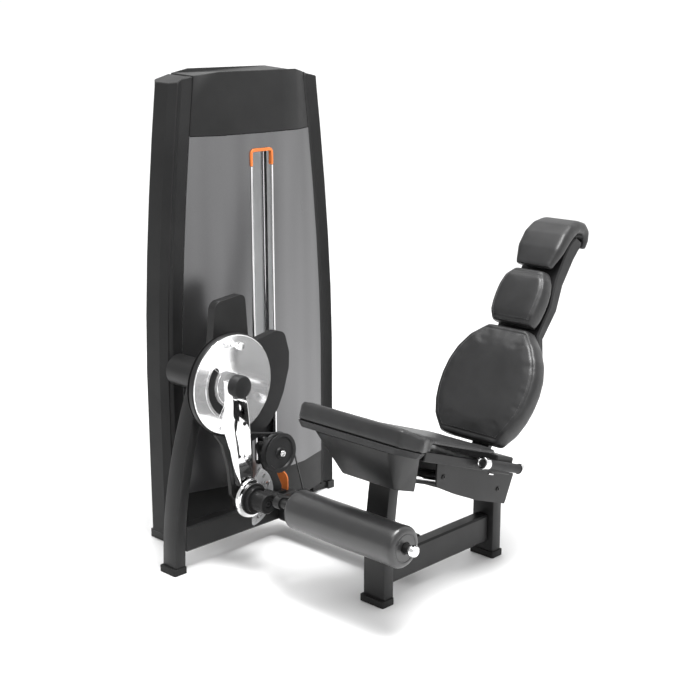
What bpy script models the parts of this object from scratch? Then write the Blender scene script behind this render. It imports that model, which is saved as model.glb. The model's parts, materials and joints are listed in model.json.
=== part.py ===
"""Leg extension machine with a weight tower, a swinging leg arm and a sliding backrest.

Metres, +Z up.  The machine frame has X across (tower at -X, seat at +X), the user faces -Y,
and the floor is Z = 0.  Everything hangs from one root empty that puts the origin under the
centre of the machine's footprint.
"""
import math

import bmesh
import bpy
from mathutils import Matrix, Vector

# ---------------------------------------------------------------- driving dimensions (metres)
GAP = 0.0003                    # clearance between touching pieces
FOOTPRINT_CENTRE = (0.38515, 0.08718)

TOWER_HEIGHT = 1.610
TOWER_REAR_RISE = 0.009
TOWER_EDGE_DROP = 0.038         # how far the top falls from the flat middle to the side edges
TOWER_FRONT_X = -0.055
TOWER_SEAM_X = -0.106
TOWER_RIDGE_X = -0.112
TOWER_BACK_X = -0.226
TOWER_HALF_WIDTH = 0.415
TOWER_SEAM_Y = 0.330
TOWER_FLAT_Y = 0.200
TOWER_WAIST_Z = 0.600           # the sides are straight below this height and lean in above it
TOWER_LEAN = 0.081
HEADER_BOTTOM_Z = 1.400
SHROUD_BOTTOM_Z = 0.170
SHEET = 0.003
SLOT_HALF_WIDTH = 0.052
SLOT_TOP_Z = 1.350
SLOT_BOTTOM_Z = 0.215

STACK_X = -0.145
ROD_Y = 0.090
ROD_RADIUS = 0.011
PLATE_HALF_WIDTH = 0.165
PLATE_DEPTH = 0.092
PLATE_PITCH = 0.022
PLATE_COUNT = 12
PLATES_LIFTED = 4
STACK_BOTTOM_Z = 0.112
CROWN_Z = 1.415                 # underside of the tower's crosshead

PIVOT = Vector((0.0, -0.365, 0.630))
AXLE_TUBE_RADIUS = 0.053
CAM_RADIUS = 0.169
CAM_BACK_X = 0.163
CAM_FRONT_X = 0.190
CHROME_RADIUS = 0.165
CHROME_FRONT_X = 0.195
LEVER_BACK_X = CHROME_FRONT_X + GAP
LEVER_FRONT_X = 0.222
HUB_SEAT_X = 0.208              # the lever's spot face under the hub cap
HUB_CAP_RADIUS = 0.038
SECTOR_X = (0.2223, 0.2290)
UPRIGHT_X = (0.062, 0.095)
WING_X = (0.0953, 0.1270)
CRANK = Vector((0.0, 0.032, -0.387))         # from the arm pivot to the ankle pivot
ROLLER = Vector((0.0, -0.040, 0.043))        # from the ankle pivot to the roller axis
ROLLER_START_X = 0.495
ROLLER_END_X = 0.952
ROLLER_RADIUS = 0.065

BEAM = 0.050
BEAM_TOP_Z = 0.152
BEAM_HEIGHT = 0.086
SEAT_X = 0.724
SEAT_ORIGIN = Vector((SEAT_X, -0.370, 0.645))
SEAT_TILT = math.radians(19.5)
RAIL_TOP, RAIL_BOTTOM = -0.130, -0.174       # heights and starts in the tilted seat frame
RAIL_START = 0.262
GUSSET_BOTTOM = -0.192
BACK_TILT = math.radians(11.5)               # of the backrest from the seat's normal
BACK_ORIGIN = Vector((0.0, 0.590, -0.005))
CAM_GROOVE_X = 0.170
LOW_PULLEY = Vector((CAM_GROOVE_X, -0.148, 0.342))
LOW_PULLEY_RADIUS = 0.070
TOP_PULLEY_Z = 1.490
TOP_PULLEY_RADIUS = 0.045
CABLE_RADIUS = 0.003
CABLE_END_Y, CABLE_END_Z = -0.034, 0.176     # where the drive cable meets its collar
GROOVE_DEPTH = 0.008
TOP_WRAP = TOP_PULLEY_RADIUS - GROOVE_DEPTH + CABLE_RADIUS + 0.0007     # radius of the cable's centre
TOP_PULLEYS = {"top_pulley_inner": TOP_WRAP, "top_pulley_outer": 0.195 - TOP_WRAP}

COLOURS = {
    "black_paint": ((0.022, 0.022, 0.023), 0.45, 0.0),
    "black_plastic": ((0.018, 0.018, 0.019), 0.55, 0.0),
    "silver_sheet": ((0.300, 0.300, 0.305), 0.32, 0.9),
    "frosted_plastic": ((0.600, 0.600, 0.610), 0.60, 0.0),
    "chrome": ((0.900, 0.900, 0.900), 0.05, 1.0),
    "orange_plastic": ((0.750, 0.180, 0.035), 0.45, 0.0),
    "black_leather": ((0.020, 0.020, 0.021), 0.50, 0.0),
    "black_foam": ((0.025, 0.025, 0.026), 0.70, 0.0),
    "rubber": ((0.015, 0.015, 0.015), 0.80, 0.0),
    "plate_steel": ((0.060, 0.060, 0.065), 0.50, 0.7),
    "cable_steel": ((0.050, 0.050, 0.055), 0.45, 0.3),
}

COLLECTIONS = {}


# ---------------------------------------------------------------- scene and materials
def clear_scene():
    for item in list(bpy.data.objects):
        bpy.data.objects.remove(item, do_unlink=True)


def make_collection(key, name):
    collection = bpy.data.collections.new(name)
    bpy.context.scene.collection.children.link(collection)
    COLLECTIONS[key] = collection


def material(kind, node_name):
    """One Principled material for each node, in the finish of its kind."""
    colour, roughness, metallic = COLOURS[kind]
    surface = bpy.data.materials.new(f"{node_name}_{kind}")
    surface.use_nodes = True
    shader = surface.node_tree.nodes["Principled BSDF"]
    shader.inputs["Base Color"].default_value = (*colour, 1.0)
    shader.inputs["Roughness"].default_value = roughness
    shader.inputs["Metallic"].default_value = metallic
    return surface


def empty(name, parent, location, rotation=(0.0, 0.0, 0.0)):
    holder = bpy.data.objects.new(name, None)
    COLLECTIONS["parts"].objects.link(holder)
    holder.parent = parent
    holder.location = location
    holder.rotation_euler = rotation
    return holder


# ---------------------------------------------------------------- modelling tools
def finish(name, mesh, kind, parent, location, rotation=None, smooth_angle=30.0):
    """Link a mesh as a part, with its own material and smooth shading up to an angle."""
    mesh.materials.clear()
    mesh.materials.append(material(kind, name))
    mesh.shade_smooth()
    mesh.set_sharp_from_angle(angle=math.radians(smooth_angle))
    part = bpy.data.objects.new(name, mesh)
    COLLECTIONS["parts"].objects.link(part)
    part.parent = parent
    part.location = location
    if rotation is not None:
        part.rotation_euler = rotation
    return part


def mesh_from(bm, name):
    mesh = bpy.data.meshes.new(name)
    bm.to_mesh(mesh)
    bm.free()
    return mesh


def bevel(part, width, segments=1, angle=40.0):
    edge = part.modifiers.new("rounded_edges", "BEVEL")
    edge.width = width
    edge.segments = segments
    edge.limit_method = "ANGLE"
    edge.angle_limit = math.radians(angle)
    return part


def box(name, low, high, kind, parent, edge=0.0, segments=1):
    """A box between two corners in the parent's frame."""
    low, high = Vector(low), Vector(high)
    bm = bmesh.new()
    bmesh.ops.create_cube(bm, size=1.0, matrix=Matrix.Diagonal((*(high - low), 1.0)))
    part = finish(name, mesh_from(bm, name), kind, parent, (low + high) / 2)
    return bevel(part, edge, segments) if edge else part


def cylinder(name, radius, start, end, kind, parent, edge=0.0, segments=32):
    """A round bar between two points in the parent's frame."""
    start, end = Vector(start), Vector(end)
    along = end - start
    bm = bmesh.new()
    bmesh.ops.create_cone(
        bm, cap_ends=True, segments=segments, radius1=radius,
        radius2=radius, depth=along.length)
    turn = along.to_track_quat("Z", "Y").to_euler()
    part = finish(name, mesh_from(bm, name), kind, parent, (start + end) / 2, turn)
    return bevel(part, edge) if edge else part


PLANES = {
    "X": ((math.pi / 2, 0.0, math.pi / 2), Vector((1.0, 0.0, 0.0))),
    "Y": ((math.pi / 2, 0.0, 0.0), Vector((0.0, 1.0, 0.0))),
    "Z": ((0.0, 0.0, 0.0), Vector((0.0, 0.0, 1.0))),
}


def plate(name, outline, normal, low, high, kind, parent, holes=(), edge=0.0, at=(0.0, 0.0, 0.0)):
    """A flat outline given thickness along X, Y or Z; the outline is (y, z), (x, z) or (x, y)."""
    curve = bpy.data.curves.new(name, "CURVE")
    curve.dimensions = "2D"
    curve.fill_mode = "BOTH"
    curve.extrude = (high - low) / 2
    for points in (outline, *holes):
        spline = curve.splines.new("POLY")
        spline.points.add(len(points) - 1)
        for target, (u, v) in zip(spline.points, points):
            target.co = (u, v, 0.0, 1.0)
        spline.use_cyclic_u = True
    turn, along = PLANES[normal]
    place = Vector(at) + along * ((low + high) / 2)
    return bake_curve(name, curve, kind, parent, place, turn, edge)


def tube(name, points, radius, kind, parent, resolution=3):
    """A round bar swept along points in the parent's frame."""
    curve = bpy.data.curves.new(name, "CURVE")
    curve.dimensions = "3D"
    curve.bevel_depth = radius
    curve.bevel_resolution = resolution
    curve.use_fill_caps = True
    spline = curve.splines.new("POLY")
    spline.points.add(len(points) - 1)
    for target, point in zip(spline.points, points):
        target.co = (*point, 1.0)
    return bake_curve(name, curve, kind, parent, (0.0, 0.0, 0.0), None, 0.0)


def bake_curve(name, curve, kind, parent, place, turn, edge):
    """Turn a curve into a closed mesh, so that it takes bevels and Booleans."""
    source = bpy.data.objects.new(name + "_outline", curve)
    COLLECTIONS["parts"].objects.link(source)
    graph = bpy.context.evaluated_depsgraph_get()
    mesh = bpy.data.meshes.new_from_object(source.evaluated_get(graph))
    bpy.data.objects.remove(source)
    bpy.data.curves.remove(curve)
    bm = bmesh.new()
    bm.from_mesh(mesh)
    bmesh.ops.remove_doubles(bm, verts=bm.verts, dist=0.00001)
    bmesh.ops.recalc_face_normals(bm, faces=bm.faces)
    bm.to_mesh(mesh)
    bm.free()
    part = finish(name, mesh, kind, parent, place, turn)
    return bevel(part, edge) if edge else part


def loft(name, rings, kind, parent, edge=0.0, smooth_angle=30.0):
    """A closed skin over rings of equally many points, in the parent's frame."""
    bm = bmesh.new()
    rows = [[bm.verts.new(point) for point in ring] for ring in rings]
    count = len(rows[0])
    for lower, upper in zip(rows, rows[1:]):
        for i in range(count):
            j = (i + 1) % count
            bm.faces.new((lower[i], lower[j], upper[j], upper[i]))
    bm.faces.new(list(reversed(rows[0])))
    bm.faces.new(rows[-1])
    bmesh.ops.recalc_face_normals(bm, faces=bm.faces)
    part = finish(name, mesh_from(bm, name), kind, parent, (0.0, 0.0, 0.0), None, smooth_angle)
    return bevel(part, edge) if edge else part


def turned(name, profile, kind, parent, location, steps=32, axis="X"):
    """A profile of (radius, height) pairs, top to bottom, turned about an axis."""
    bm = bmesh.new()
    verts = [bm.verts.new((radius, 0.0, height)) for radius, height in profile]
    for upper, lower in zip(verts, verts[1:]):
        bm.edges.new((upper, lower))
    turn = {"X": (0.0, math.pi / 2, 0.0), "Y": (-math.pi / 2, 0.0, 0.0), "Z": (0.0, 0.0, 0.0)}[axis]
    part = finish(name, mesh_from(bm, name), kind, parent, location, turn)
    screw = part.modifiers.new("turned", "SCREW")
    screw.axis = "Z"
    screw.steps = steps
    screw.render_steps = steps
    screw.use_merge_vertices = True
    screw.merge_threshold = 0.00001
    screw.use_smooth_shade = True
    return part


def tool(piece):
    """Keep a piece only as a Boolean operand."""
    piece.hide_render = True
    piece.display_type = "WIRE"
    COLLECTIONS["parts"].objects.unlink(piece)
    COLLECTIONS["cutters"].objects.link(piece)
    return piece


def combine(part, pieces, operation):
    for number, piece in enumerate(pieces):
        step = part.modifiers.new(f"{operation.lower()}_{number}", "BOOLEAN")
        step.operation = operation
        step.solver = "EXACT"
        step.object = tool(piece)
    return part


def weld(part, *pieces):
    return combine(part, pieces, "UNION")


def carve(part, *pieces):
    return combine(part, pieces, "DIFFERENCE")


# ---------------------------------------------------------------- outlines
def arc(centre, radius, start, end, steps):
    """Points on an arc, angles in degrees."""
    angles = [math.radians(start + (end - start) * i / steps) for i in range(steps + 1)]
    return [(centre[0] + radius * math.cos(a), centre[1] + radius * math.sin(a)) for a in angles]


def rounded(points, radii, steps=4):
    """Round the corners of a polygon; radii is one number or one for each corner."""
    if isinstance(radii, (int, float)):
        radii = [radii] * len(points)
    result = []
    for i, radius in enumerate(radii):
        corner = Vector(points[i])
        before = (Vector(points[i - 1]) - corner).normalized()
        after = (Vector(points[(i + 1) % len(points)]) - corner).normalized()
        if radius <= 0.0:
            result.append(tuple(corner))
            continue
        half = before.angle(after) / 2
        reach = radius / math.tan(half)
        first, last = corner + before * reach, corner + after * reach
        centre = corner + (before + after).normalized() * (radius / math.sin(half))
        for k in range(steps + 1):
            spoke = (first - centre).lerp(last - centre, k / steps)
            result.append(tuple(centre + spoke.normalized() * radius))
    return result


def rectangle(half_width, half_height, radius, centre=(0.0, 0.0), steps=4):
    corners = [(-half_width, -half_height), (half_width, -half_height),
               (half_width, half_height), (-half_width, half_height)]
    shape = rounded(corners, radius, steps) if radius else corners
    return [(u + centre[0], v + centre[1]) for u, v in shape]


def capsule(start, end, radius, end_radius=None, steps=10):
    """A straight slot or link outline between two round ends."""
    end_radius = radius if end_radius is None else end_radius
    angle = math.degrees(math.atan2(end[1] - start[1], end[0] - start[0]))
    return (arc(start, radius, angle + 90, angle + 270, steps)
            + arc(end, end_radius, angle - 90, angle + 90, steps))


def curved_slot(radius, half_width, start, end, steps=12):
    """A slot that follows an arc about the origin."""
    def cap(angle, turn):
        a = math.radians(angle)
        return arc((radius * math.cos(a), radius * math.sin(a)), half_width, turn, turn + 180, 6)
    outer = arc((0.0, 0.0), radius + half_width, start, end, steps)
    inner = arc((0.0, 0.0), radius - half_width, end, start, steps)
    return outer + cap(end, end)[1:-1] + inner + cap(start, start + 180)[1:-1]


# ---------------------------------------------------------------- weight tower
def lean(z):
    """How far the tower's sides have come in at a height, from 0 to 1 at the top."""
    return max(0.0, (z - TOWER_WAIST_Z) / (1.6 - TOWER_WAIST_Z)) ** 1.6


def outer_y(z):
    return TOWER_HALF_WIDTH - TOWER_LEAN * lean(z)


def seam_y(z):
    return TOWER_SEAM_Y - TOWER_LEAN * lean(z)


def top_z(x, y):
    """The tower's top: it rises a little to the rear and falls towards the sides."""
    slope = TOWER_EDGE_DROP / (TOWER_HALF_WIDTH - TOWER_LEAN - TOWER_FLAT_Y + 0.01)
    rise = TOWER_REAR_RISE * (TOWER_FRONT_X - x) / (TOWER_FRONT_X - TOWER_BACK_X)
    return TOWER_HEIGHT + rise - slope * max(0.0, abs(y) - TOWER_FLAT_Y + 0.01)


SIDE_LEVELS = (0.030, 0.170, 0.600, 0.800, 1.000, 1.200, 1.400, 1.560)


def side_section(z):
    """Plan of the right side panel: a shallow hollow beside the seam, a ridge and a flank."""
    seam, outer = seam_y(z), outer_y(z)
    ridge = seam + 0.72 * (outer - seam)
    return [(TOWER_SEAM_X, seam), (TOWER_SEAM_X - 0.016, (seam + ridge) / 2),
            (TOWER_RIDGE_X + 0.006, ridge), (TOWER_RIDGE_X - 0.020, outer - 0.004),
            (TOWER_BACK_X + 0.030, outer), (TOWER_BACK_X, outer - 0.022),
            (TOWER_BACK_X, seam + 0.004), (TOWER_SEAM_X - 0.030, seam + 0.004)]


def side_panel(name, side, machine):
    rings = [[(x, side * y, z) for x, y in side_section(z)] for z in SIDE_LEVELS]
    crown_section = side_section(TOWER_HEIGHT - TOWER_EDGE_DROP)
    rings.append([(x, side * y, top_z(x, y)) for x, y in crown_section])
    return loft(name, rings, "black_paint", machine, edge=0.0025, smooth_angle=12.0)


def front_section(z, inset=0.0):
    """Plan of the front skin, from seam to seam: a slight bow with two swept facets."""
    seam, flat = seam_y(z) - GAP, TOWER_FLAT_Y - 0.3 * TOWER_LEAN * lean(z)
    half = [(TOWER_SEAM_X - inset, seam), (TOWER_FRONT_X - 0.010 - inset, flat),
            (TOWER_FRONT_X - 0.004 - inset, flat * 0.55), (TOWER_FRONT_X - inset, 0.0)]
    return [(x, -y) for x, y in half] + [(x, y) for x, y in reversed(half[:-1])]


def skin(name, low, high, kind, machine, holes=()):
    """A bent sheet that closes the front of the tower between two heights."""
    levels = [z for z in SIDE_LEVELS if low < z < high]
    rings = []
    for z in [low, *levels, high]:
        outside = front_section(z)
        inside = front_section(z, SHEET)
        rings.append([(x, y, z) for x, y in outside] + [(x, y, z) for x, y in reversed(inside)])
    part = loft(name, rings, kind, machine)
    return carve(part, *holes)


def tower_shroud(machine):
    slot = rounded([(-SLOT_HALF_WIDTH, SLOT_BOTTOM_Z), (SLOT_HALF_WIDTH, SLOT_BOTTOM_Z),
                    (SLOT_HALF_WIDTH, SLOT_TOP_Z), (-SLOT_HALF_WIDTH, SLOT_TOP_Z)], 0.018)
    hole = plate("slot_cutter", slot, "X", TOWER_FRONT_X - 0.03, TOWER_FRONT_X + 0.03,
                 "black_paint", machine)
    return skin("tower_shroud", SHROUD_BOTTOM_Z, HEADER_BOTTOM_Z - GAP, "silver_sheet", machine, [hole])


def tower_header(machine):
    """The header panel and the top cap in one cover, open underneath."""
    rings = [[(x, y, z) for x, y in front_section(z) + header_back(z)] for z in (HEADER_BOTTOM_Z, 1.500)]
    rings.append([(x, y, top_z(x, y)) for x, y in front_section(1.6) + header_back(1.6)])
    part = loft("tower_header", rings, "black_paint", machine, edge=0.0025, smooth_angle=12.0)
    hollows = [box(f"header_hollow_{number}", (TOWER_BACK_X + 0.006, -half_width, HEADER_BOTTOM_Z - 0.02),
                   (front, half_width, TOWER_HEIGHT - 0.030), "black_paint", machine)
               for number, (front, half_width) in enumerate(((TOWER_SEAM_X - 0.003, 0.228),
                                                             (TOWER_FRONT_X - 0.020, 0.160)))]
    return carve(part, weld(*hollows))


def header_back(z):
    """The header's back edge in plan, with two extra points so that the top can fold."""
    seam = seam_y(z) - GAP
    flat = TOWER_FLAT_Y - 0.3 * TOWER_LEAN * lean(z)
    return [(TOWER_BACK_X, seam), (TOWER_BACK_X, flat), (TOWER_BACK_X, -flat), (TOWER_BACK_X, -seam)]


def slot_trim(machine):
    """The coloured cap over the top of the slot."""
    outer = rounded([(-SLOT_HALF_WIDTH + 0.001, 1.290), (-SLOT_HALF_WIDTH + 0.009, 1.290),
                     (-SLOT_HALF_WIDTH + 0.009, 1.338), (SLOT_HALF_WIDTH - 0.009, 1.338),
                     (SLOT_HALF_WIDTH - 0.009, 1.290), (SLOT_HALF_WIDTH - 0.001, 1.290),
                     (SLOT_HALF_WIDTH - 0.001, SLOT_TOP_Z - 0.001),
                     (-SLOT_HALF_WIDTH + 0.001, SLOT_TOP_Z - 0.001)],
                    [0, 0, 0.006, 0.006, 0, 0, 0.017, 0.017])
    return plate("slot_trim", outer, "X", TOWER_FRONT_X - 0.012, TOWER_FRONT_X + 0.004,
                 "orange_plastic", machine, edge=0.001)


def tower_back(machine):
    """The flat rear sheet between the side panels."""
    rings = []
    for z in (SHROUD_BOTTOM_Z - 0.1, TOWER_WAIST_Z, 0.8, 1.0, 1.2, HEADER_BOTTOM_Z - GAP):
        edge = seam_y(z) - GAP
        rings.append([(TOWER_BACK_X, -edge, z), (TOWER_BACK_X + SHEET, -edge, z),
                      (TOWER_BACK_X + SHEET, edge, z), (TOWER_BACK_X, edge, z)])
    return loft("tower_back", rings, "frosted_plastic", machine)


def tower_base(machine):
    """Floor frame of the tower: two rails along Y joined by two crosswise blocks, on four pads."""
    deck = box("tower_base", (TOWER_BACK_X + 0.012, -0.320, 0.035), (TOWER_SEAM_X - 0.002, 0.320, 0.085),
               "black_paint", machine, edge=0.004)
    pads = []
    for side in (-1, 1):
        pads.append(box(f"tower_foot_tool_{side}", (TOWER_BACK_X + 0.004, side * 0.388 - 0.016, 0.0),
                        (TOWER_SEAM_X - 0.004, side * 0.388 + 0.016, 0.0295), "black_paint", machine))
        low, high = sorted((side * 0.300, side * 0.400))
        pads.append(box(f"tower_outrigger_tool_{side}", (TOWER_BACK_X + 0.014, low, 0.006),
                        (TOWER_SEAM_X - 0.014, high, 0.0297), "black_paint", machine))
        inner_low, inner_high = sorted((side * 0.300, side * 0.318))
        pads.append(box(f"tower_riser_tool_{side}", (TOWER_BACK_X + 0.014, inner_low, 0.010),
                        (TOWER_SEAM_X - 0.014, inner_high, 0.050), "black_paint", machine))
    return weld(deck, *pads)


def tower_crown(machine):
    """The crosshead that holds the guide rods' tops, with a cheek behind the two top pulleys."""
    back = STACK_X - 0.034
    slab = box("tower_crown", (back, -0.225, CROWN_Z), (STACK_X + 0.034, 0.225, CROWN_Z + 0.018),
               "black_paint", machine, edge=0.003)
    cheek = box("crown_cheek", (back, -0.030, CROWN_Z + 0.010), (back + 0.008, 0.222, TOP_PULLEY_Z + 0.030),
                "black_paint", machine)
    axles = [cylinder(f"{name}_axle", 0.007, (back + 0.004, y, TOP_PULLEY_Z),
                      (STACK_X + 0.022, y, TOP_PULLEY_Z), "chrome", machine, segments=16)
             for name, y in TOP_PULLEYS.items()]
    part = weld(slab, cheek, *axles)
    passages = [cylinder(f"crown_passage_{number}", 0.008, (STACK_X, y, CROWN_Z - 0.01),
                         (STACK_X, y, CROWN_Z + 0.03), "black_paint", machine, segments=16)
                for number, y in enumerate((0.0, 0.195))]
    return carve(part, *passages)


def guide_rod(name, side, machine):
    return cylinder(name, ROD_RADIUS, (STACK_X, side * ROD_Y, 0.085 + GAP),
                    (STACK_X, side * ROD_Y, CROWN_Z - GAP), "chrome", machine, segments=20)


def stack_block(name, first, count, machine, kind="plate_steel"):
    """A run of weight plates: one block with a groove at every joint between plates."""
    low = STACK_BOTTOM_Z + first * PLATE_PITCH
    groove, depth = 0.0025, 0.003
    rings = []
    for i in range(count):
        z0, z1 = low + i * PLATE_PITCH, low + (i + 1) * PLATE_PITCH
        for z, inset in ((z0 + groove, 0.0), (z1 - 0.0004, 0.0), (z1, depth), (z1 + groove, depth)):
            if i == count - 1 and z > z1:
                continue
            half_x, half_y = PLATE_DEPTH / 2 - inset, PLATE_HALF_WIDTH - inset
            rings.append([(STACK_X - half_x, -half_y, z), (STACK_X + half_x, -half_y, z),
                          (STACK_X + half_x, half_y, z), (STACK_X - half_x, half_y, z)])
    part = loft(name, rings, kind, machine)
    high = low + count * PLATE_PITCH + 0.01
    bores = [cylinder(f"{name}_bore_{side}", ROD_RADIUS + 0.002, (STACK_X, side * ROD_Y, low - 0.01),
                      (STACK_X, side * ROD_Y, high), kind, machine, segments=20) for side in (-1, 1)]
    return part, bores


def weight_stack(machine):
    """The plates that stay down."""
    part, bores = stack_block("weight_stack", 0, PLATE_COUNT - PLATES_LIFTED, machine)
    return carve(part, *bores)


def weight_head(machine):
    """The lifted plates with the head plate and its cable stem."""
    first = PLATE_COUNT - PLATES_LIFTED
    holder = empty("weight_head_origin", machine, (0.0, 0.0, 0.0))
    part, bores = stack_block("weight_head", first, PLATES_LIFTED, holder)
    top = STACK_BOTTOM_Z + PLATE_COUNT * PLATE_PITCH
    head = box("head_plate", (STACK_X - 0.040, -0.135, top - 0.001), (STACK_X + 0.040, 0.135, top + 0.028),
               "plate_steel", holder, edge=0.003)
    stem = cylinder("head_stem", 0.009, (STACK_X, 0.0, top + 0.020), (STACK_X, 0.0, top + 0.075),
                    "plate_steel", holder, segments=16)
    bores = bores + [
        cylinder(f"head_bore_{side}", ROD_RADIUS + 0.002, (STACK_X, side * ROD_Y, top - 0.02),
                 (STACK_X, side * ROD_Y, top + 0.06), "plate_steel", holder, segments=20)
        for side in (-1, 1)]
    pin_z = STACK_BOTTOM_Z + (first + 0.5) * PLATE_PITCH
    bores.append(cylinder("pin_bore", 0.0055, (STACK_X - 0.030, 0.0, pin_z), (STACK_X + 0.080, 0.0, pin_z),
                          "plate_steel", holder, segments=12))
    return carve(weld(part, head, stem), *bores), top + 0.075


def selector_pin(machine):
    pin_z = STACK_BOTTOM_Z + (PLATE_COUNT - PLATES_LIFTED + 0.5) * PLATE_PITCH
    holder = empty("selector_pin_origin", machine, (STACK_X, 0.0, pin_z))
    shaft_end, knob_end = 0.052, 0.086
    profile = [(0.0, knob_end), (0.010, knob_end), (0.013, knob_end - 0.004), (0.013, shaft_end + 0.006),
               (0.009, shaft_end), (0.0045, shaft_end - 0.001), (0.0045, -0.024), (0.003, -0.027),
               (0.0, -0.027)]
    return turned("selector_pin", profile, "black_plastic", holder, (0.0, 0.0, 0.0), steps=20)


def pulley(name, radius, width, holder, kind="black_plastic", steps=32, bore=0.0075, axis="X"):
    """A grooved wheel with a bore, its origin on its own axis."""
    rim, groove, web, hub, floor = radius, radius - GROOVE_DEPTH, width * 0.32, width * 0.5, 0.004
    half = [(bore, hub), (radius * 0.25, hub), (radius * 0.30, web), (rim - 0.016, web),
            (rim - 0.013, hub), (rim - 0.001, hub), (rim, hub - 0.001), (groove, floor)]
    profile = half + [(r, -h) for r, h in reversed(half)] + half[:1]
    return turned(name, profile, kind, holder, (0.0, 0.0, 0.0), steps=steps, axis=axis)


def tower(machine):
    side_panel("tower_side_left", -1, machine)
    side_panel("tower_side_right", 1, machine)
    tower_header(machine)
    tower_shroud(machine)
    skin("tower_kick_panel", 0.040, SHROUD_BOTTOM_Z - GAP, "black_paint", machine)
    tower_back(machine)
    slot_trim(machine)
    tower_base(machine)
    tower_crown(machine)
    guide_rod("guide_rod_left", -1, machine)
    guide_rod("guide_rod_right", 1, machine)
    weight_stack(machine)
    _, stem_top = weight_head(machine)
    selector_pin(machine)
    for name, y in TOP_PULLEYS.items():
        pulley(name, TOP_PULLEY_RADIUS, 0.026, empty(f"{name}_axis", machine, (STACK_X, y, TOP_PULLEY_Z)),
               steps=16)
    cylinder("cable_lift", CABLE_RADIUS, (STACK_X, 0.0, stem_top + GAP), (STACK_X, 0.0, TOP_PULLEY_Z - 0.001),
             "cable_steel", machine, segments=10)
    first, second = TOP_PULLEYS.values()
    over = arc((first, TOP_PULLEY_Z), TOP_WRAP, 180.0, 90.0, 6)
    down = arc((second, TOP_PULLEY_Z), TOP_WRAP, 90.0, 0.0, 6)
    route = over + down + [(second + TOP_WRAP, 0.085 + GAP)]
    tube("cable_run", [(STACK_X, y, z) for y, z in route], CABLE_RADIUS, "cable_steel", machine, resolution=2)


# ---------------------------------------------------------------- lower frame and drive stand
def beam(name, low, high, machine):
    return box(name, low, high, "black_paint", machine, edge=0.006)


def support_leg(machine):
    """The flat leg that rises from its foot and bows back to the axle tube."""
    width, depth, top = 0.070, 0.043, 0.610
    rings = []
    for i in range(9):
        z = 0.022 + GAP + (top - 0.022) * i / 8
        centre = -0.563 + depth / 2 + 0.33 * z * z
        rings.append([(0.080 + u, centre + v, z) for u, v in rectangle(width / 2, depth / 2, 0.006, steps=2)])
    leg = loft("support_leg", rings, "black_paint", machine)
    bore = cylinder("leg_bore", AXLE_TUBE_RADIUS + GAP, (0.0, PIVOT.y, PIVOT.z), (0.2, PIVOT.y, PIVOT.z),
                    "black_paint", machine, segments=40)
    return carve(leg, bore)


def foot(name, x, y, half_x, half_y, machine, height=0.022):
    """A flanged floor pad under a post."""
    outline = rectangle(half_x, half_y, 0.006, (x, y), 3)
    return plate(name, outline, "Z", 0.0, height, "rubber", machine, edge=0.003)


def axle_tube(machine):
    """The fixed tube that carries the arm's shaft, with a spigot against the tower."""
    body = cylinder("axle_tube", AXLE_TUBE_RADIUS, (-0.090, PIVOT.y, PIVOT.z), (CAM_BACK_X - 0.002, PIVOT.y, PIVOT.z),
                    "black_paint", machine, edge=0.002, segments=40)
    spigot = cylinder("axle_spigot", 0.034, (TOWER_SEAM_X + GAP, PIVOT.y, PIVOT.z),
                      (-0.080, PIVOT.y, PIVOT.z), "black_paint", machine, segments=24)
    bore = cylinder("axle_bore", 0.0165, (0.060, PIVOT.y, PIVOT.z), (0.200, PIVOT.y, PIVOT.z),
                    "black_paint", machine, segments=24)
    return carve(weld(body, spigot), bore)


def drive_upright(machine):
    """The tall plate that stands on the tower beam and carries the axle tube."""
    outline = rounded([(-0.265, BEAM_TOP_Z + GAP), (-0.200, BEAM_TOP_Z + GAP), (-0.200, 0.620),
                       (-0.220, 0.897), (-0.350, 0.883), (-0.378, 0.620), (-0.300, 0.460)],
                      [0.0, 0.0, 0.0, 0.022, 0.030, 0.0, 0.0], 5)
    part = plate("drive_upright", outline, "X", *UPRIGHT_X, "black_paint", machine, edge=0.004)
    bore = cylinder("upright_bore", AXLE_TUBE_RADIUS + GAP, (0.0, PIVOT.y, PIVOT.z), (0.2, PIVOT.y, PIVOT.z),
                    "black_paint", machine, segments=40)
    return carve(part, bore)


def wing_cover(machine):
    """The curved guard beside the cam."""
    outline = rounded([(-0.295, 0.722), (-0.112, 0.755), (-0.073, 0.746), (-0.052, 0.672), (-0.054, 0.618),
                       (-0.080, 0.535), (-0.106, 0.484), (-0.138, 0.447), (-0.190, 0.402), (-0.295, 0.372)],
                      [0.010, 0.030, 0.030, 0.040, 0.060, 0.100, 0.100, 0.100, 0.060, 0.010], 3)
    return plate("wing_cover", outline, "X", *WING_X, "black_plastic", machine, edge=0.005)


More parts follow.
